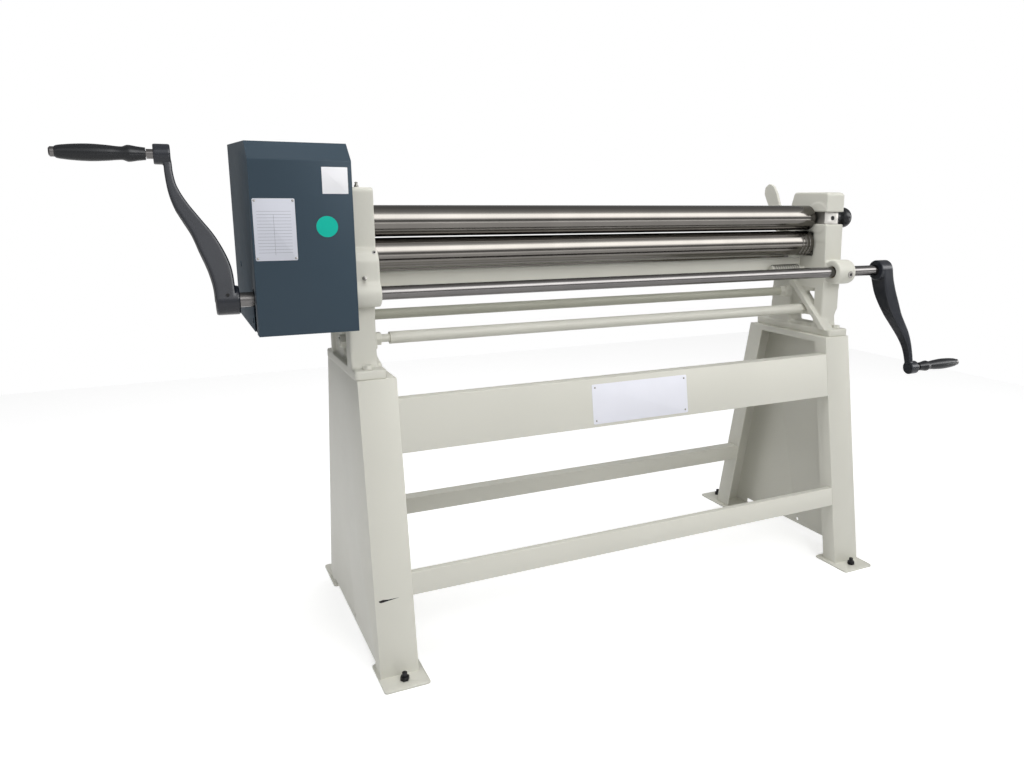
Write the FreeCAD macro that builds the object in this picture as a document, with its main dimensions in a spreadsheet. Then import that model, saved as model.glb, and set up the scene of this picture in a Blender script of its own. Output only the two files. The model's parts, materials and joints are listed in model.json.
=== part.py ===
"""Hand-driven slip roll machine: three rolls in two cast side frames on a sheet steel stand.

Frame: +X along the rolls to the operator's right, +Y to the back, +Z up, millimetres. The origin is
on the floor, below the middle of the machine's envelope. All driving dimensions are cells of one
sheet, measured from the middle plane between the two side frames and from the vertical plane of the
two front rolls; the cells move_right and move_front then bring every piece onto the origin.
"""
import FreeCAD, Part, Sketcher
import math
import os

from FreeCAD import Placement, Rotation, Vector

doc = FreeCAD.newDocument("SlipRoll")
sheet = doc.addObject("Spreadsheet::Sheet", "Sizes")

# ------------------------------------------------------------------ driving dimensions
DIMENSIONS = {
    # from the middle plane and the front rolls' plane to the origin
    "move_right": 43, "move_front": -96,
    # rolls
    "roll_radius": 37.5, "roll_half": 680, "roll_right": 683, "top_roll_left": -677, "rear_roll_right": 667,
    "top_axis": 1065, "low_axis": 987.5, "rear_roll_y": 112, "rear_axis": 962,
    "journal_radius": 15, "roll_chamfer": 2.5, "groove_pitch": 14, "groove_depth": 3,
    # fits: a running fit, a press fit and the play of a bolt or nut
    "running": 0.05, "pressed": 0.02, "play": 0.2,
    # side frames
    "head_in": 685.5, "left_in": 693, "right_in": 687, "left_out": 755.5, "right_out": 753,
    "web_out": 742, "block_in": 694, "base_in": 681,
    "left_front": -87, "right_front": -82, "column_back": -43, "column_step": 785,
    "rear_column": 70, "frame_back": 158, "rear_column_foot": 164,
    "base_front": -130, "base_back": 230, "stand_top": 705, "base_top": 727,
    "body_low": 848, "head_low": 992, "head_back": 75, "head_back_top": 71, "head_top": 1143,
    "shoulder_top": 1060, "bearing_mid": 720,
    # hand shaft and gears
    "shaft_y": -108, "shaft_z": 902.7, "shaft_radius": 16, "bush_radius": 20, "bush_lip": 4,
    "shaft_left": -1030, "shaft_right": 926, "left_boss_in": 686, "right_boss_in": 693, "boss_out": 764,
    "gear_module": 5, "pinion_teeth": 15, "wheel_teeth": 63, "sleeve_radius": 25, "sleeve_bush_radius": 32,
    # release
    "lever_y": 108, "lever_radius": 10, "plunger_radius": 7,
    # cross members
    "front_rod_y": 5, "front_rod_z": 779, "front_rod_radius": 15.2, "front_lug_in": 682,
    "rear_rod_y": 84, "rear_rod_z": 828.4, "rear_rod_radius": 13.4, "rear_boss_in": 670,
    "rod_thread": 10, "rod_end": 764, "nut_length": 16, "washer_length": 3,
    "bar_front": 30, "bar_back": 50, "bar_low": 885, "bar_top": 940,
    # stand
    "leg_out": 752, "leg_in": 661, "leg_foot": 6, "leg_sheet": 4, "panel_low": 24,
    "front_lean": 0.138, "rear_lean": 0.23, "leg_front": -133.6, "leg_back": 235,
    "front_lip": 52, "rear_lip": 65, "lip_top": 687,
    "beam_top": 654.5, "beam_low": 526.7, "beam_flange": 35, "beam_sheet": 4,
    "front_tie_top": 242, "front_tie_low": 188.3, "front_tie_flange": 20,
    "rear_tie_y": 285, "rear_tie_top": 249.7, "rear_tie_low": 201, "rear_tie_flange": 43,
    "foot_in": 648, "foot_out": 757, "foot_mid": 702, "foot_corner": 8,
    "front_foot": -290, "front_foot_back": -155, "rear_foot_front": 323, "rear_foot": 480,
    "front_screw": -256, "rear_screw": 448,
    "bolt_x": 722, "front_bolt": -110, "rear_bolt": 196, "bolt_radius": 6, "bolt_flats": 19,
    # gear cover
    "cover_left": -957, "cover_right": -748, "cover_front": -168, "cover_back": 290,
    "cover_low": 827.5, "cover_edge": 1197, "cover_facet": -123, "cover_facet_top": 1235,
    "cover_top": 1249, "cover_sheet": 2, "cover_slot_half": 24,
    # cranks
    "left_crank_up": 303, "left_crank_back": 54, "right_crank_up": 315, "right_crank_back": 56,
    "crank_hub_radius": 31, "crank_offset": 100, "left_hub": -1009, "right_hub": 905,
    "left_hub_in": 23, "right_hub_in": 29, "hub_out": 23, "boss_half": 16, "boss_radius": 21,
    "left_grip_length": 182, "right_grip_length": 200, "grip_bolt_radius": 6,
}


class Size:
    """A number from the sheet that keeps its formula, so that a property can be bound to it."""

    def __init__(self, value, text=None):
        self.value = float(value)
        self.text = text if text is not None else repr(float(value))

    def join(self, other, sign, value):
        return Size(value, "(" + self.text + " " + sign + " " + size_of(other).text + ")")

    def __add__(self, other):
        return self.join(other, "+", self.value + size_of(other).value)

    def __radd__(self, other):
        return size_of(other) + self

    def __sub__(self, other):
        return self.join(other, "-", self.value - size_of(other).value)

    def __rsub__(self, other):
        return size_of(other) - self

    def __mul__(self, other):
        return self.join(other, "*", self.value * size_of(other).value)

    def __rmul__(self, other):
        return size_of(other) * self

    def __truediv__(self, other):
        return self.join(other, "/", self.value / size_of(other).value)

    def __neg__(self):
        return Size(-self.value, "(-1 * " + self.text + ")")

    def __float__(self):
        return self.value


def size_of(number):
    """The number as a Size."""
    return number if isinstance(number, Size) else Size(number)


class Sizes:
    """Gives each cell of the sheet by its alias."""


D = Sizes()
for row, (alias, number) in enumerate(DIMENSIONS.items(), start=1):
    cell = "A" + str(row)
    sheet.set(cell, str(number))
    sheet.setAlias(cell, alias)
    setattr(D, alias, Size(number, "Sizes." + alias))
doc.recompute()


# ------------------------------------------------------------------ helpers
def bind(item, path, number):
    """Tie one property to its formula."""
    item.setExpression(path, size_of(number).text)


PLACES = {}


def place(item, x=0, y=0, z=0):
    """Bind an object's position."""
    PLACES[item.Name] = (size_of(x), size_of(y), size_of(z))
    item.Placement.Base = Vector(float(x), float(y), float(z))
    for axis, number in zip("xyz", (x, y, z)):
        bind(item, "Placement.Base." + axis, number)


def box(name, low, high):
    """A box from its lowest corner to its highest."""
    item = doc.addObject("Part::Box", name)
    for path, start, end in zip(("Length", "Width", "Height"), low, high):
        bind(item, path, size_of(end) - start)
    place(item, *low)
    return item


TURN = {"x": Rotation(Vector(0, 1, 0), 90), "y": Rotation(Vector(1, 0, 0), -90), "z": Rotation()}


def cylinder(name, axis, start, radius, length):
    """A cylinder that starts at a point and runs along +axis."""
    item = doc.addObject("Part::Cylinder", name)
    bind(item, "Radius", radius)
    bind(item, "Height", length)
    item.Placement = Placement(Vector(), TURN[axis])
    place(item, *start)
    return item


def hexagon(name, axis, start, across_flats, length, spin=0):
    """A hexagonal prism along +axis, for nuts and screw heads."""
    item = doc.addObject("Part::Prism", name)
    item.Polygon = 6
    bind(item, "Circumradius", size_of(across_flats) / math.sqrt(3))
    bind(item, "Height", length)
    item.Placement = Placement(Vector(), TURN[axis] * Rotation(Vector(0, 0, 1), spin))
    place(item, *start)
    return item


PLANES = {"x": "YZ_Plane", "y": "XZ_Plane", "z": "XY_Plane"}


def sketch_on(body, axis):
    """An empty sketch on one of the body's own planes."""
    plane = [p for p in body.Origin.OriginFeatures if p.Role == PLANES[axis]][0]
    sketch = body.newObject("Sketcher::SketchObject", body.Name + "_sketch")
    sketch.AttachmentSupport = [(plane, "")]
    sketch.MapMode = "FlatFace"
    return sketch


def draw(sketch, points):
    """A closed outline of straight lines whose every corner is bound to the sheet."""
    spots = [Vector(float(u), float(v), 0) for u, v in points]
    for index, spot in enumerate(spots):
        sketch.addGeometry(Part.LineSegment(spot, spots[(index + 1) % len(spots)]), False)
    for index, (u, v) in enumerate(points):
        follower = (index + 1) % len(points)
        sketch.addConstraint(Sketcher.Constraint("Coincident", index, 2, follower, 1))
        for kind, number in (("DistanceX", u), ("DistanceY", v)):
            spot = sketch.addConstraint(Sketcher.Constraint(kind, -1, 1, index, 1, float(number)))
            bind(sketch, "Constraints[" + str(spot) + "]", number)


def prism(name, axis, points, start, end, rounds=None):
    """A padded outline: its points lie across the axis, and rounds maps a corner to its radius."""
    body = doc.addObject("PartDesign::Body", name)
    sketch = sketch_on(body, axis)
    draw(sketch, points)
    pad = body.newObject("PartDesign::Pad", name + "_pad")
    pad.Profile = sketch
    bind(pad, "Length", size_of(end) - start)
    if axis == "y":
        pad.Reversed = True
    place(body, **{axis: start})
    for corner, radius in (rounds or {}).items():
        doc.recompute()
        base = body.Tip
        across = {"x": (1, 2), "y": (0, 2), "z": (0, 1)}[axis]
        names = []
        for number, edge in enumerate(base.Shape.Edges, start=1):
            ends = [vertex.Point for vertex in edge.Vertexes]
            if len(ends) == 2 and all(
                    abs(p[across[0]] - float(points[corner][0])) < 1e-4
                    and abs(p[across[1]] - float(points[corner][1])) < 1e-4 for p in ends):
                names.append("Edge" + str(number))
        fillet = body.newObject("PartDesign::Fillet", name + "_round" + str(corner))
        fillet.Base = (base, names)
        bind(fillet, "Radius", radius)
        body.Tip = fillet
    return body


def turned(name, points, x=0, y=0, z=0):
    """A turned piece: its half profile (along X, radius) is revolved about the X direction."""
    body = doc.addObject("PartDesign::Body", name)
    sketch = sketch_on(body, "y")
    draw(sketch, points)
    turn = body.newObject("PartDesign::Revolution", name + "_turn")
    turn.Profile = sketch
    turn.ReferenceAxis = (sketch, ["H_Axis"])
    turn.Angle = 360
    place(body, x, y, z)
    return body


def fuse(name, pieces, refine=True):
    """Several shapes made one; refine joins faces that lie in one plane."""
    item = doc.addObject("Part::MultiFuse", name)
    item.Shapes = pieces
    item.Refine = refine
    return item


def cut(name, base, tools):
    """A shape with others taken out of it."""
    item = doc.addObject("Part::Cut", name)
    item.Base = base
    item.Tool = tools[0] if len(tools) == 1 else fuse(name + "_tools", tools)
    return item


def feature(name, shape, x=0, y=0, z=0):
    """An object whose shape was made with the Part module from sheet values."""
    item = doc.addObject("Part::Feature", name)
    item.Shape = shape
    place(item, x, y, z)
    return item


def copies(name, piece, placements):
    """Identical separate pieces kept as one node."""
    doc.recompute()
    shapes = []
    for placement in placements:
        shape = piece.Shape.copy()
        shape.Placement = placement.multiply(shape.Placement)
        shapes.append(shape)
    return feature(name, Part.makeCompound(shapes))


NODES = []


def node(name, item):
    """Name a finished piece, its file's name too, and move it with the whole machine."""
    item.Label = name
    x, y, z = PLACES.get(item.Name, (0, 0, 0))
    place(item, x + D.move_right, y + D.move_front, z)
    NODES.append(item)
    return item


def span(side, low, high):
    """The two ends of a range along X on the right (+1) or, mirrored, on the left (-1)."""
    return (size_of(low), size_of(high)) if side > 0 else (-size_of(high), -size_of(low))


SIDES = (("left", -1), ("right", 1))


# ------------------------------------------------------------------ stand
def front_at(z):
    """Y of the stand's leaning front face at a height."""
    return D.leg_front - D.front_lean * (D.stand_top - z)


def back_at(z):
    """Y of the stand's leaning back face at a height."""
    return D.leg_back + D.rear_lean * (D.stand_top - z)


def leg(name, side):
    """A leg folded from sheet: outer panel, front and back flanges with return lips, and a top."""
    wall = D.leg_sheet
    low, high = span(side, D.leg_in, D.leg_out)
    outline = [(front_at(D.leg_foot), D.leg_foot), (front_at(D.stand_top), D.stand_top),
               (back_at(D.stand_top), D.stand_top), (back_at(D.leg_foot), D.leg_foot)]
    shell = prism(name + "_outer", "x", outline, low, high)
    below = size_of(-20)
    inner = [(front_at(below) + wall, below), (front_at(D.stand_top) + wall, D.stand_top - wall),
             (back_at(D.stand_top) - wall, D.stand_top - wall), (back_at(below) - wall, below)]
    low, high = span(side, D.leg_in + wall, D.leg_out - wall)
    hollow = prism(name + "_hollow", "x", inner, low, high)
    window = [(front_at(below) + D.front_lip, below), (front_at(D.lip_top) + D.front_lip, D.lip_top),
              (back_at(D.lip_top) - D.rear_lip, D.lip_top), (back_at(below) - D.rear_lip, below)]
    low, high = span(side, D.leg_in - 1, D.leg_in + wall + 1)
    opening = prism(name + "_window", "x", window, low, high)
    low, high = span(side, D.leg_out - wall - 1, D.leg_out + 1)
    under = box(name + "_under", (low, front_at(D.panel_low) + D.front_lip, -1),
                (high, back_at(D.panel_low) - D.rear_lip, D.panel_low))
    tools = [hollow, opening, under]
    for spot, y in (("front", D.front_bolt), ("back", D.rear_bolt)):
        tools.append(cylinder(name + "_bolt_hole_" + spot, "z", (side * D.bolt_x, y, D.stand_top - 10),
                              D.bolt_radius + 0.6, 20))
    drain = cylinder(name + "_drain", "x", (low, 49, 39), 6, 8)
    node(name, cut(name, shell, tools + [drain]))


for word, side in SIDES:
    leg(word + "_leg", side)

beam_profile = [(front_at(D.beam_low), D.beam_low), (front_at(D.beam_top), D.beam_top),
                (front_at(D.beam_top) + D.beam_flange, D.beam_top),
                (front_at(D.beam_top) + D.beam_flange, D.beam_top - D.beam_sheet),
                (front_at(D.beam_top) + D.beam_sheet, D.beam_top - D.beam_sheet),
                (front_at(D.beam_low) + D.beam_sheet, D.beam_low + D.beam_sheet),
                (front_at(D.beam_low) + D.beam_flange, D.beam_low + D.beam_sheet),
                (front_at(D.beam_low) + D.beam_flange, D.beam_low)]
node("front_beam", prism("front_beam", "x", beam_profile, -D.leg_in, D.leg_in))

tie_profile = [(front_at(D.front_tie_low), D.front_tie_low), (front_at(D.front_tie_top), D.front_tie_top),
               (front_at(D.front_tie_top) + D.front_tie_flange, D.front_tie_top),
               (front_at(D.front_tie_top) + D.front_tie_flange, D.front_tie_top - D.leg_sheet),
               (front_at(D.front_tie_top) + D.leg_sheet, D.front_tie_top - D.leg_sheet),
               (front_at(D.front_tie_low) + D.leg_sheet, D.front_tie_low)]
node("front_lower_tie", prism("front_lower_tie", "x", tie_profile, -D.leg_in, D.leg_in))

rear_tie_profile = [(D.rear_tie_y, D.rear_tie_low), (D.rear_tie_y, D.rear_tie_top),
                    (D.rear_tie_y + D.rear_tie_flange, D.rear_tie_top),
                    (D.rear_tie_y + D.rear_tie_flange, D.rear_tie_top - D.leg_sheet),
                    (D.rear_tie_y + D.leg_sheet, D.rear_tie_top - D.leg_sheet),
                    (D.rear_tie_y + D.leg_sheet, D.rear_tie_low)]
node("rear_lower_tie", prism("rear_lower_tie", "x", rear_tie_profile, -D.leg_in, D.leg_in))

for word, side in SIDES:
    low, high = span(side, D.foot_in, D.foot_out)
    for place_word, start, end, screw in (("front", D.front_foot, D.front_foot_back, D.front_screw),
                                          ("rear", D.rear_foot_front, D.rear_foot, D.rear_screw)):
        title = word + "_" + place_word + "_foot"
        outline = [(low, start), (high, start), (high, end), (low, end)]
        plate = prism(title + "_plate", "z", outline, 0, D.leg_foot, dict.fromkeys(range(4), D.foot_corner))
        hole = cylinder(title + "_hole", "z", (side * D.foot_mid, screw, -1), D.bolt_radius + 0.5, 8)
        node(title, cut(title, plate, [hole]))

foot_spots = [Placement(Vector(side * D.foot_mid.value, y.value, 0), Rotation())
              for side in (-1, 1) for y in (D.front_screw, D.rear_screw)]
stud = cylinder("stud", "z", (0, 0, 0), D.bolt_radius, 26)
node("anchor_studs", copies("anchor_studs", stud, foot_spots))
nut_blank = hexagon("nut_blank", "z", (0, 0, D.leg_foot), D.bolt_flats, 10)
nut_bore = cylinder("nut_bore", "z", (0, 0, 0), D.bolt_radius + D.play, 30)
anchor_nut = cut("anchor_nut", nut_blank, [nut_bore])
node("anchor_nuts", copies("anchor_nuts", anchor_nut, foot_spots))


# ------------------------------------------------------------------ side frames
def side_frame(name, side):
    """A cast side frame: base, front and rear columns, a thick body with the bearing slots, a head."""
    inner, out = (D.right_in, D.right_out) if side > 0 else (D.left_in, D.left_out)
    front = D.right_front if side > 0 else D.left_front
    column_out = D.web_out if side > 0 else out
    parts = []

    def block(word, low, high, y, z):
        left, right = span(side, low, high)
        parts.append(box(name + "_" + word, (left, y[0], z[0]), (right, y[1], z[1])))

    def plate(word, points, low, high, rounds=None):
        left, right = span(side, low, high)
        parts.append(prism(name + "_" + word, "x", points, left, right, rounds))

    def round_boss(word, low, high, y, z, radius):
        left, right = span(side, low, high)
        parts.append(cylinder(name + "_" + word, "x", (left, y, z), radius, right - left))

    def pillar(word, out, low, high, radius):
        left, right = span(side, inner, out)
        outline = [(left, front), (right, front), (right, D.column_back), (left, D.column_back)]
        parts.append(prism(name + "_" + word, "z", outline, low, high, {0: radius, 1: radius}))

    left, right = span(side, D.base_in, out)
    base = [(left, D.base_front), (right, D.base_front), (right, D.base_back), (left, D.base_back)]
    parts.append(prism(name + "_base", "z", base, D.stand_top, D.base_top, dict.fromkeys(range(4), 10)))
    pillar("column", column_out, D.base_top - 2, D.body_low + 20, 6)
    if side > 0:
        pillar("column_pad", out, D.column_step, D.body_low + 20, 6)
        slope = [(D.web_out - 2, D.column_step - 22), (D.web_out, D.column_step - 22),
                 (out, D.column_step + 1), (D.web_out - 2, D.column_step + 1)]
        parts.append(prism(name + "_column_slope", "y", slope, front + 3, D.column_back))
    flare = [(front + 20, D.base_top - 1), (front + 20, D.base_top + 30), (front, D.base_top + 30),
             (front - 2, D.base_top + 14), (front - 5, D.base_top + 5), (front - 9, D.base_top - 1)]
    plate("flare", flare, inner + 1, column_out - 1)
    side_flare = [(side * D.base_in, D.base_top - 1), (side * D.base_in, D.base_top + 3),
                  (side * (D.base_in + 4), D.base_top + 10), (side * (inner - 1), D.base_top + 24),
                  (side * (inner + 4), D.base_top + 40), (side * (inner + 4), D.base_top - 1)]
    parts.append(prism(name + "_side_flare", "y", side_flare, front + 6, D.column_back))
    rear_column = [(D.rear_column, D.base_top - 2), (D.rear_column_foot, D.base_top - 2),
                   (D.frame_back, D.body_low + 2), (D.rear_column, D.body_low + 2)]
    plate("rear_column", rear_column, inner, D.web_out)
    if side < 0:
        block("rear_flange", inner, out, (D.frame_back - 14, D.frame_back), (D.base_top - 2, D.body_low + 2))
    web_low, web_high = span(side, inner + 6, D.web_out - 6)
    web = prism(name + "_web", "x", [(D.column_back - 1, D.base_top - 2), (D.rear_column + 1, D.base_top - 2),
                                     (D.rear_column + 1, D.body_low + 1), (D.column_back - 1, D.body_low + 1)],
                web_low, web_high)
    window = [(D.column_back + 2, D.base_top + 9), (D.rear_column - 2, D.base_top + 9),
              (D.rear_column - 2, D.body_low - 4), (D.column_back + 2, D.body_low - 4)]
    web_low, web_high = span(side, inner, D.web_out)
    parts.append(cut(name + "_web_ring", web, [
        prism(name + "_window", "x", window, web_low, web_high, dict.fromkeys(range(4), 14))]))
    body = [(front, D.body_low), (D.frame_back, D.body_low), (D.frame_back, D.shoulder_top), (130, 1088),
            (88, 1096), (D.head_back_top, D.head_top), (front, D.head_top)]
    plate("body", body, inner, out, {2: 12, 5: 14, 6: 10})
    head = [(front, D.head_low), (D.head_back, D.head_low), (D.head_back_top, D.head_top), (front, D.head_top)]
    plate("head", head, D.head_in, inner + 1, {2: 14, 3: 10})
    parts.append(cylinder(name + "_screw_housing", "z", (side * D.bearing_mid, 0, D.body_low - 12), 30, 14))
    if side > 0:
        rib = [(-114.6, D.base_top - 2), (-88, D.base_top - 2), (62, 862), (62, 880), (55, 880)]
        plate("rib", rib, 672, 710.5)
    block("rod_lug", D.front_lug_in if side < 0 else inner, D.web_out, (D.column_back - 4, D.front_rod_y), (762, 796))
    round_boss("rod_lug_end", D.front_lug_in if side < 0 else inner, D.web_out, D.front_rod_y, D.front_rod_z, 17)
    round_boss("rear_rod_boss", D.rear_boss_in, inner + 2, D.rear_rod_y, D.rear_rod_z, 20)
    if side > 0:
        rim = [(0, 0), (0, 34), (2, 37), (58, 37), (64, 35), (69, 30), (71, 25), (71, 0)]
        parts.append(turned(name + "_shaft_boss", rim, D.right_boss_in, D.shaft_y, D.shaft_z))
        round_boss("slot_lip", 684, D.head_in + 16, -40, D.top_axis, 46)
    else:
        round_boss("shaft_boss", D.left_boss_in, out, D.shaft_y, D.shaft_z, 31)
        cheek = [(front + 4, 884), (-118, 884), (-123, 905), (-123, 978), (-112, 998),
                 (front, 1006), (front + 4, 1006)]
        plate("cheek", cheek, inner - 7, out - 2, {2: 8, 3: 8})
    tools = []
    left, right = span(side, 660, 770)

    def opening(word, y, z):
        tools.append(box(name + "_" + word, (left, y[0], z[0]), (right, y[1], z[1])))

    def bore(word, y, z, radius):
        tools.append(cylinder(name + "_" + word, "x", (left, y, z), radius, right - left))

    boss_in = D.right_boss_in if side > 0 else D.left_boss_in
    if side > 0:
        opening("top_slot", (-160, 23.4), (D.top_axis - 18.7, D.top_axis + 18.7))
        bore("lever_hole", D.lever_y, D.top_axis, D.lever_radius + D.running)
        tools.append(cylinder(name + "_plunger_hole", "y", (716, 10, D.top_axis), D.plunger_radius + D.running, 98))
        corner = box(name + "_corner", (out - 12, -110, D.head_top - 12), (out + 5, 110, D.head_top + 5))
        tools.append(cut(name + "_corner_waste", corner, [
            cylinder(name + "_corner_round", "y", (out - 12, -120, D.head_top - 12), 12, 240)]))
    else:
        bore("sleeve_bore", 0, D.top_axis, D.sleeve_bush_radius + D.pressed)
    opening("low_slot", (-25.2, 25.2), (948, 1022))
    opening("rear_slot", (D.rear_roll_y - 22.2, D.rear_roll_y + 22.2), (930, 1047))
    bore("shaft_bore", D.shaft_y, D.shaft_z, D.shaft_radius + 0.6)
    bush_low, bush_high = span(side, boss_in + D.bush_lip, D.boss_out + 5)
    tools.append(cylinder(name + "_bush_bore", "x", (bush_low, D.shaft_y, D.shaft_z), D.bush_radius + D.pressed,
                          bush_high - bush_low))
    bore("front_rod_hole", D.front_rod_y, D.front_rod_z, D.rod_thread + D.play)
    bore("rear_rod_hole", D.rear_rod_y, D.rear_rod_z, D.rod_thread + D.play)
    tools.append(cylinder(name + "_low_screw_hole", "z", (side * D.bearing_mid, 0, 820), 8.1, 135))
    tools.append(cylinder(name + "_rear_screw_hole", "z", (side * D.bearing_mid, D.rear_roll_y, 840), 8.1, 100))
    pocket_low, pocket_high = span(side, 704, 736)
    tools.append(box(name + "_screw_pocket", (pocket_low, 97, 752), (pocket_high, D.frame_back + 8, D.body_low)))
    for word, y in (("front", D.front_bolt), ("back", D.rear_bolt)):
        tools.append(cylinder(name + "_bolt_hole_" + word, "z", (side * D.bolt_x, y, D.stand_top - 5),
                              D.bolt_radius + 0.6, 40))
    return node(name, cut(name, fuse(name + "_blank", parts, False), tools))


for word, side in SIDES:
    side_frame(word + "_side_frame", side)

bolt_spots = [Placement(Vector(side * D.bolt_x.value, y.value, 0), Rotation())
              for side in (-1, 1) for y in (D.front_bolt, D.rear_bolt)]
bolt_head = hexagon("bolt_head", "z", (0, 0, D.base_top + 2.5), D.bolt_flats, 7.5, 15)
bolt_shank = cylinder("bolt_shank", "z", (0, 0, D.stand_top - 20), D.bolt_radius, 50)
bolt_collar = cylinder("bolt_collar", "z", (0, 0, D.base_top), 11.2, 2.5)
bolt = fuse("bolt", [bolt_head, bolt_shank, bolt_collar])
node("base_bolts", copies("base_bolts", bolt, bolt_spots))
base_nut = cut("base_nut",
               hexagon("base_nut_blank", "z", (0, 0, D.stand_top - D.leg_sheet - 10), D.bolt_flats, 10, 15),
               [cylinder("base_nut_bore", "z", (0, 0, 680), D.bolt_radius + D.play, 40)])
node("base_nuts", copies("base_nuts", base_nut, bolt_spots))

# ------------------------------------------------------------------ cross members
node("cross_bar", box("cross_bar", (-D.left_in, D.bar_front, D.bar_low), (D.right_in, D.bar_back, D.bar_top)))


def tie_rod(name, y, z, radius, left, right):
    """A round tie with turned-down threaded ends that start at its two shoulders."""
    line = [(-D.rod_end, 0), (-D.rod_end, D.rod_thread), (left, D.rod_thread), (left, radius),
            (right, radius), (right, D.rod_thread), (D.rod_end, D.rod_thread), (D.rod_end, 0)]
    node(name, turned(name, line, 0, y, z))


def rod_nut(name, y, z, face, outward):
    """One washer and nut on a tie rod's end; they start at a face of the frame and run outward."""
    washer_low, washer_high = sorted((face, face + outward * D.washer_length), key=float)
    end = face + outward * (D.washer_length + D.nut_length)
    nut_low = min(face + outward * D.washer_length, end, key=float)
    pieces = []
    for title, blank in (("washer", cylinder(name + "_disc", "x", (washer_low, y, z), 18, washer_high - washer_low)),
                         ("nut", hexagon(name + "_blank", "x", (nut_low, y, z), 30, D.nut_length, 30))):
        hole = cylinder(name + "_" + title + "_bore", "x", (nut_low - 20, y, z), D.rod_thread + D.play, 50)
        pieces.append(cut(name + "_" + title, blank, [hole]))
    return pieces


front_left = -D.front_lug_in + D.washer_length + D.nut_length
front_right = D.right_in - D.washer_length - D.nut_length
rear_right = D.rear_boss_in - D.washer_length - D.nut_length
tie_rod("front_tie_rod", D.front_rod_y, D.front_rod_z, D.front_rod_radius, front_left + 22, front_right)
tie_rod("rear_tie_rod", D.rear_rod_y, D.rear_rod_z, D.rear_rod_radius, -D.rear_boss_in, rear_right)
FRONT_NUTS = ((-D.front_lug_in, 1), (D.right_in, -1), (-D.web_out, -1), (D.web_out, 1))
REAR_NUTS = ((D.rear_boss_in, -1), (-D.web_out, -1), (D.web_out, 1))
nuts = []
for title, y, z, faces in (("front", D.front_rod_y, D.front_rod_z, FRONT_NUTS),
                           ("rear", D.rear_rod_y, D.rear_rod_z, REAR_NUTS)):
    for index, (face, outward) in enumerate(faces):
        nuts += rod_nut(title + "_rod_" + str(index), y, z, face, outward)
doc.recompute()
node("tie_rod_nuts", feature("tie_rod_nuts", Part.makeCompound([item.Shape for item in nuts])))


# ------------------------------------------------------------------ gears
def gear_shape(teeth, width, bore_radius, turn, thin=0.25):
    """A spur gear about X from X=0: involute flanks at 20 degrees, thinned for backlash."""
    module = D.gear_module.value
    pitch = module * teeth / 2
    base = pitch * math.cos(math.radians(20))
    outer = pitch + 0.95 * module
    root = pitch - 1.25 * module

    def spread(radius):
        flat = math.acos(min(1.0, base / radius))
        return math.tan(flat) - flat

    half_pitch = math.pi / (2 * teeth) - thin / (2 * pitch)
    flank = [(radius, half_pitch + spread(pitch) - spread(radius))
             for radius in (max(base, root + 0.3), pitch + 0.2 * module, outer)]
    foot = (root, flank[0][1] + 0.6 / pitch)
    points = []
    for tooth in range(teeth):
        middle = turn + 2 * math.pi * tooth / teeth
        points += [(radius, middle - angle) for radius, angle in [foot] + flank]
        points += [(radius, middle + angle) for radius, angle in reversed([foot] + flank)]
    corners = [Vector(0, r * math.cos(a), r * math.sin(a)) for r, a in points]
    face = Part.Face(Part.makePolygon(corners + [corners[0]]))
    solid = face.extrude(Vector(width, 0, 0))
    return solid.cut(Part.makeCylinder(bore_radius, width + 2, Vector(-1, 0, 0), Vector(1, 0, 0)))


TEETH = int(DIMENSIONS["pinion_teeth"])
WHEEL = int(DIMENSIONS["wheel_teeth"])
to_wheel = math.atan2(D.top_axis.value - D.shaft_z.value, -D.shaft_y.value)
on_shaft = (D.shaft_radius + D.pressed).value
on_sleeve = (D.sleeve_radius + D.pressed).value
on_journal = (D.journal_radius + D.pressed).value
along = Vector(1, 0, 0)
pinion = gear_shape(TEETH, 34, on_shaft, to_wheel)
node("drive_pinion", feature("drive_pinion", pinion, -900, D.shaft_y, D.shaft_z))
wheel_turn = to_wheel + math.pi + math.pi / WHEEL
wheel = gear_shape(WHEEL, 26, on_sleeve, wheel_turn)
rim_groove = Part.makeCylinder(138, 7, Vector(-1, 0, 0), along).cut(
    Part.makeCylinder(42, 7, Vector(-1, 0, 0), along))
wheel = wheel.cut(rim_groove).cut(rim_groove.translated(Vector(20, 0, 0)))
for index in range(6):
    angle = math.pi / 3 * index
    wheel = wheel.cut(Part.makeCylinder(24, 40, Vector(-5, 90 * math.cos(angle), 90 * math.sin(angle)), along))
node("drive_wheel", feature("drive_wheel", wheel, -896, 0, D.top_axis))
roll_gear = gear_shape(TEETH, 36, on_sleeve, -math.pi / 2)
node("top_roll_gear", feature("top_roll_gear", roll_gear, -836, 0, D.top_axis))
low_gear = gear_shape(TEETH, 30, on_journal, math.pi / 2 + math.pi / TEETH)
node("pinch_roll_gear", feature("pinch_roll_gear", low_gear, -833, 0, D.low_axis))

# ------------------------------------------------------------------ top roll and its drive
sleeve = D.sleeve_radius
sleeve_profile = [(-905, 0), (-905, sleeve), (-690, sleeve), (-690, 17.5), (-735, 17.5), (-735, 0)]
sleeve_blank = turned("sleeve_blank", sleeve_profile, 0, 0, D.top_axis)
sleeve_slot = box("sleeve_slot", (-728, -30, D.top_axis - 5), (-680, 30, D.top_axis + 5))
node("drive_sleeve", cut("drive_sleeve", sleeve_blank, [sleeve_slot]))
sleeve_collar = cut("sleeve_collar", cylinder("sleeve_collar_disc", "x", (-772, 0, D.top_axis), 33, 14),
                    [cylinder("sleeve_collar_bore", "x", (-774, 0, D.top_axis), sleeve + D.pressed, 20)])
node("sleeve_collar", sleeve_collar)
sleeve_tube = cylinder("sleeve_bush_tube", "x", (-D.left_out, 0, D.top_axis), D.sleeve_bush_radius,
                       D.left_out - D.head_in)
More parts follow.
